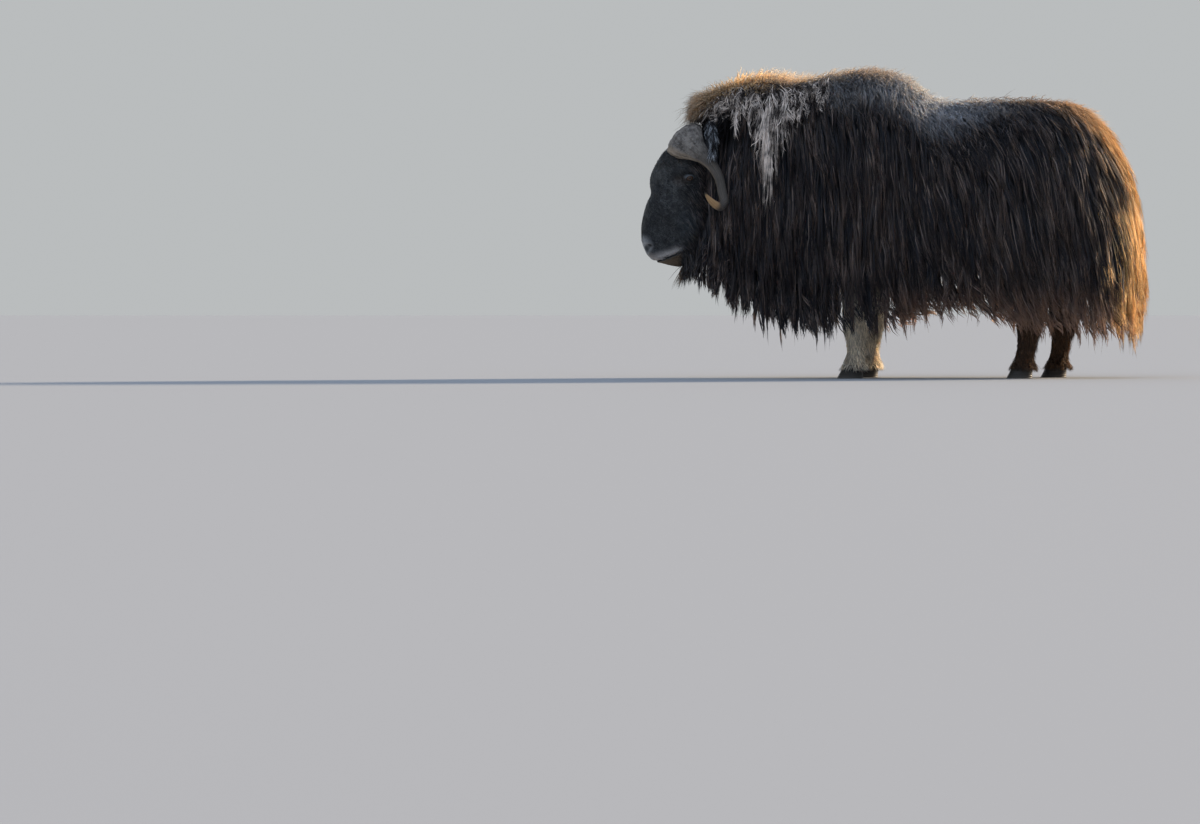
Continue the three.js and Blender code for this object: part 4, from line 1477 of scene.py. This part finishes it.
# Colours of the rim by x: its pale tips, painted brighter and golden for backlight glowing through them
PALE_AND_BACKLIT_RIM_COLOURS = [
    (-1.0, (0.41, 0.31, 0.225)),
    (-0.87, (0.49, 0.35, 0.22)),
    (-0.7, (0.75, 0.52, 0.29)),
    (-0.45, (0.6, 0.46, 0.32)),
    (-0.12, (0.36, 0.28, 0.215)),
    (0.15, (0.4, 0.35, 0.29)),
    (0.5, (0.22, 0.17, 0.13)),
    (0.8, (0.3, 0.195, 0.12)),
    (1.0, (0.46, 0.28, 0.13)),
    (1.2, (0.56, 0.33, 0.12)),
]
GREY_COLOURS = [
    (-1.0, (0.08, 0.074, 0.07)),
    (-0.2, (0.2, 0.197, 0.2)),
    (0.2, (0.42, 0.435, 0.465)),
    (0.6, (0.1, 0.097, 0.1)),
    (1.2, (0.06, 0.048, 0.042)),
]
# Patches of the face: middle, radii, colour, how strong. Some are painted shade in hollows and one is a
# painted highlight, as marked.
FACE_PATCHES = [
    ((-1.06, 0.0, 0.8), (0.22, 0.25, 0.4), (0.023, 0.026, 0.029), 0.8),
    ((-1.145, 0.0, 0.603), (0.06, 0.095, 0.056), (0.4, 0.405, 0.41), 0.8),  # nose pad
    # painted shade: the nostril and its upper end are painted near black for the shade inside them
    ((-1.138, 0.044, 0.584), (0.019, 0.024, 0.021), (0.004, 0.004, 0.004), 1.0),  # nostril
    ((-1.122, 0.054, 0.602), (0.014, 0.02, 0.012), (0.004, 0.004, 0.004), 1.0),  # its upper end
    ((-1.1, 0.0, 0.95), (0.09, 0.13, 0.09), (0.085, 0.086, 0.084), 0.55),  # forehead
    ((-1.15, 0.0, 0.76), (0.05, 0.07, 0.16), (0.075, 0.07, 0.065), 0.5),  # bridge of the nose
    ((-0.95, 0.12, 0.69), (0.07, 0.07, 0.09), (0.055, 0.066, 0.08), 0.5),  # cheek
    # painted shade in the hollow of the eye
    ((-0.95, 0.1, 0.9), (0.075, 0.07, 0.055), (0.011, 0.012, 0.014), 0.75),  # hollow of the eye
    ((-0.985, 0.11, 0.895), (0.045, 0.05, 0.03), (0.045, 0.033, 0.028), 0.6),  # before the eye
    # painted highlight: the upper lid is painted pale grey-blue for the light caught above the eye
    ((-0.941, 0.115, 0.916), (0.03, 0.05, 0.014), (0.13, 0.145, 0.165), 0.8),  # upper lid
    # painted shade above the mouth, under the edge of the cheek
    ((-1.035, 0.1, 0.632), (0.05, 0.06, 0.035), (0.008, 0.009, 0.011), 0.7),  # above the mouth
    # painted shade in the hollow behind the ear
    ((-0.775, 0.2, 1.13), (0.042, 0.3, 0.11), (0.003, 0.003, 0.004), 0.92),  # hollow behind the ear
]
# Height of the line of the mouth, by x in metres
MOUTH_HEIGHT = [(-1.16, 0.52), *[(x * MM, z * MM) for x, z in MOUTH_LINE], (-0.92, 0.6)]
# Colours of the hair, from its darkest strands to its palest, and of the marks on it
# The pale strands are partly the hair's own brown and partly painted highlights where strands catch the light
FLANK = {"dark": (0.0175, 0.021, 0.0275), "pale": (0.27, 0.222, 0.2), "tip": (0.085, 0.048, 0.032)}
# The hem's fringe: the tips' own tan, painted paler for light glowing through them
HEM_TAN_AND_GLOW = (0.38, 0.235, 0.165)
FACE_FLECKS = (0.17, 0.175, 0.172)
LIP_COLOURS = {"upper": (0.58, 0.54, 0.51), "lower": (0.2, 0.135, 0.075)}
# The gold of the rear, dark to pale: partly the hair's own colour, partly painted sunlight glowing through it
REAR_GOLD_AND_BACKLIGHT = ((0.4, 0.21, 0.08), (0.88, 0.6, 0.29))
FRONT_LEG_HAIR = ((0.42, 0.375, 0.31), (0.98, 0.88, 0.72))
HIND_LEG_HAIR = ((0.04, 0.028, 0.022), (0.12, 0.075, 0.048))
UPPER_LEG = (0.05, 0.04, 0.034)


def flank_colour(place, strand, tip):
    """Black-brown hair with clumps of paler strands, partly painted highlights, and brown tips, and a tan
    fringe at the hem, painted paler for light glowing through its tips.
    """
    x, _, z = axes_of(place)
    clumps = between(noise(place, 5.0, 4.0, 0.6), 0.3, 0.65, 0.35, 1.0)
    # painted highlight: the palest strands partly stand for strands that catch the light
    flank = blended(strand**3.0 * clumps, FLANK["dark"], FLANK["pale"])
    flank = blended(tip**2.0 * (strand * 0.55), flank, FLANK["tip"])
    # painted light: the tips at the hem are painted tan and paler, for light glowing through them
    fringe = between(x, -0.15, 0.05) * falling(z, 0.2, 0.46) * tip * 0.8
    return blended(fringe, flank, HEM_TAN_AND_GLOW)


def with_face(coloured, place, strand, uneven, mottled):
    """Adds the patches and flecks of the face, and both lips."""
    x, _, z = axes_of(place)
    folded_place = one_side(place)
    for middle, radii, colour, strength in FACE_PATCHES:
        coloured = blended(patch_at(folded_place, middle, radii) * strength, coloured, colour)
    flecks = between(strand, 0.2, 1.0) * between(uneven + mottled, -0.16, 0.2, 0.1, 0.85)
    coloured = blended(falling(x, -0.93, -0.88) * flecks, coloured, FACE_FLECKS)
    off_mouth = z - curve_of(x, MOUTH_HEIGHT) + mottled * 0.03
    upper = between(off_mouth, -0.002, 0.003) * falling(off_mouth, 0.004, 0.05) * falling(x, -1.02, -0.955)
    lower = falling(off_mouth, -0.012, -0.004) * between(x, -1.0, -0.97, 0.85, 0.0)
    lip_shade = between(strand + mottled, -0.1, 0.9, 0.3, 1.0)
    coloured = blended(upper * lip_shade, coloured, LIP_COLOURS["upper"])
    return blended(lower * lip_shade, coloured, LIP_COLOURS["lower"])


def with_back(coloured, place, strand, tip, uneven):
    """Adds the grey saddle, and the pale rim along the back and the gold of the rear, both partly painted
    backlight.
    """
    x, _, z = axes_of(place)
    own = strand - 0.5
    below = curve_of(x, BACK_OUTLINE, TALLEST) - z + uneven * 0.09 + own * 0.06
    pale_and_backlit_rim_depth, grey_depth = curve_of(x, PALE_AND_BACKLIT_RIM_DEPTH), curve_of(x, GREY_DEPTH)
    grey = falling((below - pale_and_backlit_rim_depth) / (grey_depth + 0.01), 0.3, 1.3) * between(grey_depth, 0.0, 0.05)
    coloured = blended(grey * between(strand, -0.4, 0.5), coloured, colour_along(x, GREY_COLOURS))
    # painted light: the rim along the top of the back is painted paler and golden for backlight through its
    # tips
    rim = falling(below / pale_and_backlit_rim_depth, 0.5, 1.3) * between(tip, -0.3, 0.5, 0.35, 1.0)
    coloured = blended(rim, coloured, colour_along(x, PALE_AND_BACKLIT_RIM_COLOURS))
    # painted light: the gold of the rear is partly painted sunlight glowing through its hair
    rear = between(x + (uneven * 0.25 + own * 0.16), 0.96, 1.1) * between(z, 0.66, 0.86, 0.95, 0.2)
    rear = rear * between(z, 0.12, 0.3, 0.5, 1.0)
    return blended(rear, coloured, blended(strand, *REAR_GOLD_AND_BACKLIGHT))


def leg_colour(place, strand, uneven):
    """Pale tan in front and dark brown behind, darker where a leg goes up into the coat."""
    x, _, z = axes_of(place)
    front_leg = blended(between(strand + uneven, 0.2, 0.9), *FRONT_LEG_HAIR)
    leg = blended(between(x, 0.0, 0.3), front_leg, blended(strand, *HIND_LEG_HAIR))
    return blended(between(z, 0.26, 0.42, 0.0, 0.7), leg, UPPER_LEG)


def coat_markings():
    """The colours of hair and skin by their place, a strand's shade and the way to its tip."""
    inputs = [(name, "NodeSocketFloat") for name in ("Strand", "Tip", "Legs")]
    tree, given, result = shader_group("coat_markings", inputs, [("Color", "NodeSocketColor")])
    strand, tip, legs = (Shade(tree, output) for output in given.outputs[:3])
    place = object_place(tree)
    uneven = noise(place, 9.0, 3.0) - 0.5
    mottled = noise(place, 48.0, 4.0, 0.65) - 0.5
    coloured = with_face(flank_colour(place, strand, tip), place, strand, uneven, mottled)
    coloured = with_back(coloured, place, strand, tip, uneven)
    on_leg = legs * falling(axes_of(place)[2], 0.4, 0.46)
    feed(result, 0, blended(on_leg, coloured, leg_colour(place, strand, uneven)))
    return tree


def marked(markings, strand, tip, legs):
    """The colour that the markings give."""
    values = {"Strand": strand, "Tip": tip, "Legs": legs}
    return shade_from(strand.tree, "ShaderNodeGroup", values, node_tree=markings)


def new_material(name, roughness, specular=0.5):
    material = bpy.data.materials.new(name)
    material.use_nodes = True
    surface = material.node_tree.nodes["Principled BSDF"]
    surface.inputs["Roughness"].default_value = roughness
    surface.inputs["Specular IOR Level"].default_value = specular
    return material, material.node_tree, surface


def see_through(surface, weight):
    """Lets light pass through fine hair, so that it glows with the light behind it."""
    surface.subsurface_method = "BURLEY"
    surface.inputs["Subsurface Weight"].default_value = weight
    surface.inputs["Subsurface Radius"].default_value = (1.0, 0.8, 0.6)
    surface.inputs["Subsurface Scale"].default_value = 0.012


def strand_values(tree):
    """The shade of the strand, and the way from its root to its tip."""
    kind = "ShaderNodeAttribute"
    return [shade_from(tree, kind, output="Fac", attribute_name=name) for name in ("strand", "tip")]


def hair_material(name, markings, on_legs=0.0):
    material, tree, surface = new_material(name, 0.5, 0.14)
    see_through(surface, 0.8)
    strand, tip = strand_values(tree)
    feed(surface, "Base Color", marked(markings, strand, tip, on_legs))
    return material


def own_hair_material(name, darkest, palest, contrast, patch_size, patchiness):
    """Hair with colours of its own, from a dark strand to a pale one, darker at the root."""
    material, tree, surface = new_material(name, 0.55, 0.14)
    strand, tip = strand_values(tree)
    patches = noise(object_place(tree), patch_size, 2.0) - 0.5
    paler = between(strand + patches * patchiness, 0.0, 1.0) ** contrast
    paler = paler * between(tip, -0.2, 0.35, 0.3, 1.0)
    feed(surface, "Base Color", blended(paler, darkest, palest))
    return material


def skin_material(markings):
    """Short dense fur that lies flat, with fine bumps drawn out along the hair, and a pebbled nose pad."""
    material, tree, surface = new_material("hide", 0.62, 0.2)
    place = object_place(tree)
    stretched = shade_from(tree, "ShaderNodeMapping", {"Vector": place, "Scale": (1.0, 1.0, 0.4)})
    fine = noise(stretched, 420.0, 3.0)
    pebbles = shade_from(tree, "ShaderNodeTexVoronoi", {"Vector": place, "Scale": 260.0}, "Distance")
    pad = patch_at(one_side(place), (-1.15, 0.03, 0.605), (0.05, 0.075, 0.05))
    feed(surface, "Base Color", marked(markings, fine, 0.2, 1.0))
    feed(surface, "Roughness", between(pad, 0.2, 0.8, 0.62, 0.38))
    add_bumps(surface, fine * (1.0 - pad) + pebbles * pad, 0.7, 0.0025)
    return material


# Colours of a horn, each from dark to pale: the boss, the shaft and the tip
HORN_COLOURS = {
    "boss": ((0.065, 0.057, 0.051), (0.27, 0.245, 0.22)),
    "shaft": ((0.055, 0.05, 0.047), (0.14, 0.12, 0.1)),
    "tip": ((0.42, 0.22, 0.09), (0.66, 0.45, 0.24)),
}
HORN_FLECKS = (0.36, 0.36, 0.36)
HORN_BAND = (0.4, 0.31, 0.22)


def horn_material():
    """A fibrous, pitted boss with pale flecks, a tan band along its lower edge and a tan tip."""
    material, tree, surface = new_material("horn", 0.5, 0.4)
    place = object_place(tree)
    on_map = shade_from(tree, "ShaderNodeTexCoord", output="UV")
    around, down, _ = axes_of(on_map)
    share = 1.0 - down
    fibres_at = shade_from(tree, "ShaderNodeMapping", {"Vector": on_map, "Scale": (46.0, 7.0, 1.0)})
    fibres = noise(fibres_at, 1.0, 5.0, 0.6)
    mottle = noise(place, 34.0, 5.0, 0.7)
    flecks = noise(place, 130.0, 2.0)
    boss = falling(share, 0.28, 0.5)
    grey = blended(between(mottle + fibres * 0.5, 0.55, 0.95), *HORN_COLOURS["boss"])
    grey = blended(between(flecks, 0.6, 0.72) * 0.5, grey, HORN_FLECKS)
    shaft = blended(between(fibres, 0.35, 0.7), *HORN_COLOURS["shaft"])
    colour = blended(boss, shaft, grey)
    band = falling(abs(around - 0.53), 0.05, 0.12) * between(share, 0.1, 0.7, 0.85, 0.3)
    colour = blended(band * between(fibres, 0.3, 0.6), colour, HORN_BAND)
    at_tip = between(share, 0.84, 0.88) * falling(share, 0.965, 0.985)
    tan = blended(between(fibres, 0.3, 0.7), *HORN_COLOURS["tip"])
    feed(surface, "Base Color", blended(at_tip, colour, tan))
    feed(surface, "Roughness", between(share, 0.2, 0.6, 0.72, 0.42))
    add_bumps(surface, fibres + (mottle + flecks) * (boss * 1.3), 1.0, 0.006)
    return material


HOOF_COLOURS = {"dark": (0.012, 0.011, 0.011), "pale": (0.065, 0.055, 0.046), "sole": (0.11, 0.1, 0.088)}


def hoof_material():
    """Dull dark horn with fine growth rings, paler and scuffed towards the sole."""
    material, tree, surface = new_material("hoof", 0.5, 0.4)
    place = object_place(tree)
    height = axes_of(place)[2]
    scuffs = noise(place, 40.0, 4.0)
    rings = (height * 900.0 + scuffs * 9.0).sine()
    colour = blended(scuffs, HOOF_COLOURS["dark"], HOOF_COLOURS["pale"])
    colour = blended(between(height, 0.0, 0.02, 0.6, 0.0), colour, HOOF_COLOURS["sole"])
    feed(surface, "Base Color", colour)
    feed(surface, "Roughness", between(scuffs, 0.3, 0.7, 0.4, 0.65))
    add_bumps(surface, rings * 0.25 + scuffs, 0.5, 0.002)
    return material


IRIS = ((0.022, 0.011, 0.006), (0.085, 0.042, 0.02))
EYE_RIM = (0.01, 0.008, 0.008)
PUPIL = (0.002, 0.002, 0.003)


def eye_material():
    """A dark brown eye with a level, oblong pupil under a wet cornea."""
    material, tree, surface = new_material("eye", 0.3, 0.0)
    place = object_place(tree)
    x, _, z = axes_of(place)
    across = (x - EYE["at"][0] * MM) / (EYE["radius"] * MM)
    up = (z - EYE["at"][2] * MM) / (EYE["radius"] * MM)
    out = (across * across + up * up) ** 0.5
    off_pupil = (abs(across) * 2.6) ** 2.0 + (abs(up) * 5.5) ** 2.0
    colour = blended(between(out, 0.66, 0.78), blended(noise(place, 420.0, 2.0), *IRIS), EYE_RIM)
    feed(surface, "Base Color", blended(falling(off_pupil, 0.8, 1.1), colour, PUPIL))
    surface.inputs["Coat Weight"].default_value = 0.75
    surface.inputs["Coat Roughness"].default_value = 0.03
    return material


def floor_material():
    material, _, surface = new_material("pale_floor", 0.9, 0.1)
    surface.inputs["Base Color"].default_value = (0.36, 0.38, 0.405, 1)
    return material


# Putting the animal together

FLESH = ["head", "lower_jaw", "neck", "shoulders", "barrel", "rump", "tail", "ear_left", "ear_right", *LEGS]
# Regions of the coat, by the x of the roots of their hair
REGIONS = {
    "neck": (-math.inf, -505),
    "shoulders": (-505, 85),
    "barrel": (85, 560),
    "rump": (560, math.inf),
}

# How many strands a lock or a piece starts from, before those in the way of the head are left out
STRANDS = {
    "lock": 14,
    "matted_lock": 8,
    "rim": 10400,
    "saddle": 6500,
    "poll": 2600,
    "tangled": 3800,
    "face": 18000,
    "cheeks": 3600,
    "ear": 900,
    "chest": 1500,
    "leg": 2600,
}

markings = coat_markings()
hide = skin_material(markings)
guard_hair = hair_material("guard_hair", markings)
leg_hair = hair_material("leg_hair", markings, 1.0)
matted_wool = own_hair_material("matted_wool", (0.045, 0.038, 0.036), (1.0, 0.89, 0.81), 1.35, 19.0, 2.1)
ear_hair = own_hair_material("ear_hair", (0.01, 0.011, 0.013), (0.6, 0.65, 0.72), 3.0, 28.0, 1.1)
horn_finish, hoof_finish, eye_finish = horn_material(), hoof_material(), eye_material()


def finished(piece, material, slot, *nodes):
    piece.data.materials.clear()
    piece.data.materials.append(material)
    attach(piece, "root")
    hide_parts(*nodes)


forms = [body_form(), head_form(), *[lid_form(side) for side in SIDES.values()]]
forms += [rolled("ear_form", 32, 36, ear_surface(side)) for side in SIDES.values()]
forms += [rolled("leg_form", 28, 50, leg_surface(*place)) for place in LEGS.values()]
finished(joined("skin", forms), hide, "coat", *FLESH)

for name, side in SIDES.items():
    finished(eye_piece(f"eyeball_{name}", side), eye_finish, "eye", f"eye_{name}")
    finished(horn_piece(f"horn_sheath_{name}", side), horn_finish, "horn", f"horn_{name}")

for name, (x, y, _) in LEGS.items():
    foot = name.replace("leg", "hoof")
    outer = 1 if y > 0 else -1
    for place, inner in (("inner", -outer), ("outer", outer)):
        finished(claw_piece(f"claw_{foot}_{place}", x, y, inner), hoof_finish, "hoof", f"{foot}_{place}")

random = np.random.default_rng(11)
coat = free_of_head(lock_strands(coat_locks(random), STRANDS["lock"], random))
roots = coat["places"][:, 0]
for name, (low, high) in REGIONS.items():
    for side_name, side in SIDES.items():
        inside = (roots[:, 0] >= low) & (roots[:, 0] < high) & (roots[:, 1] * side > 0)
        hair_pieces(f"coat_{name}_{side_name}", chosen(coat, inside), guard_hair)

rim = free_of_horns(rim_strands(STRANDS["rim"], random))
hair_pieces("rim_of_the_back", rim, guard_hair)
hair_pieces("wool_of_the_saddle", wool_strands(STRANDS["saddle"], random), guard_hair)
poll = free_of_horns(poll_strands(STRANDS["poll"], random), room=-14)
hair_pieces("fringe_of_the_poll", poll, guard_hair)
matted = free_of_horns(lock_strands(matted_locks(random), STRANDS["matted_lock"], random, rings=6))
hair_pieces("matted_wool", matted, matted_wool)
tangled = free_of_horns(tangled_strands(STRANDS["tangled"], random))
hair_pieces("tangled_wool", tangled, matted_wool)
face = free_of_eyes(free_of_horns(face_strands(STRANDS["face"], random), room=-3, ears=False))
hair_pieces("hair_of_the_face", face, guard_hair)
cheeks = free_of_eyes(free_of_horns(cheek_strands(STRANDS["cheeks"], random), room=0, ears=False))
hair_pieces("hair_of_the_cheeks", cheeks, guard_hair)
for name, side in SIDES.items():
    ear = free_of_horns(ear_strands(side, STRANDS["ear"], random), room=1, ears=False)
    hair_pieces(f"hair_of_the_ear_{name}", ear, ear_hair)
hair_pieces("hair_of_the_chest", chest_strands(STRANDS["chest"], random), guard_hair)
for name in LEGS:
    hair_pieces(f"hair_of_the_{name}", leg_strands(name, STRANDS["leg"], random), leg_hair)

# Floor, light and camera

# The photo's frame: how much a pixel covers at the animal, and where the frame's middle lies
PHOTO = {"width": 1200, "mm_per_pixel": 4.55, "middle_x": -1349, "middle_z": -155}
CAMERA_DISTANCE = 55
CAMERA_ELEVATION = math.radians(1.0)
SENSOR = 36
FLOOR_SIZE = (120, 90, 1)
FLOOR_MIDDLE = (0, -15, 0)

scene = bpy.context.scene


def stage_floor():
    bpy.ops.object.select_all(action="DESELECT")
    bpy.ops.mesh.primitive_grid_add(x_subdivisions=8, y_subdivisions=6, size=1, location=FLOOR_MIDDLE)
    floor = bpy.context.object
    floor.name = "floor"
    floor.scale = FLOOR_SIZE
    bpy.ops.object.transform_apply(location=True, rotation=True, scale=True)
    floor.data.materials.append(floor_material())


SKY = {"low": (0.49, 0.507, 0.513), "low_left": (0.26, 0.3, 0.355), "high": (0.5, 0.6, 0.78)}


def sky(world):
    """A pale even backdrop, brighter and bluer overhead, and dimmer to the animal's left."""
    world.use_nodes = True
    tree = world.node_tree
    _, y, z = axes_of(shade_from(tree, "ShaderNodeTexCoord", output="Generated"))
    low = blended(falling(y, -0.6, 0.3), SKY["low"], SKY["low_left"])
    feed(tree.nodes["Background"], "Color", blended(between(z, 0.1, 0.9), low, SKY["high"]))


def turn_towards(thing, direction):
    thing.rotation_mode = "QUATERNION"
    thing.rotation_quaternion = direction.to_track_quat("-Z", "Y")


def lamp(name, towards, energy, colour, size):
    """A soft light that shines along a direction."""
    data = bpy.data.lights.new(name, "SUN")
    data.energy = energy
    data.color = colour
    data.angle = math.radians(size)
    light = bpy.data.objects.new(name, data)
    scene.collection.objects.link(light)
    turn_towards(light, Vector(towards))


stage_floor()
scene.world = bpy.data.worlds.new("studio")
sky(scene.world)
scene.view_settings.view_transform = "Standard"
lamp("warm_light_behind", (-0.8, -0.42, -0.29), 7.5, (1, 0.8, 0.58), 8)
lamp("soft_light_front", (0.45, 0.6, -0.66), 0.35, (0.86, 0.93, 1), 50)

camera_data = bpy.data.cameras.new("camera")
camera_data.sensor_width = SENSOR
camera_data.lens = SENSOR * CAMERA_DISTANCE / (PHOTO["width"] * PHOTO["mm_per_pixel"] * MM)
camera_data.clip_end = 500
camera = bpy.data.objects.new("camera", camera_data)
scene.collection.objects.link(camera)
aim = Vector((PHOTO["middle_x"], 0, PHOTO["middle_z"])) * MM
back = Vector((0, -math.cos(CAMERA_ELEVATION), math.sin(CAMERA_ELEVATION)))
camera.location = aim + back * CAMERA_DISTANCE
turn_towards(camera, -back)
scene.camera = camera
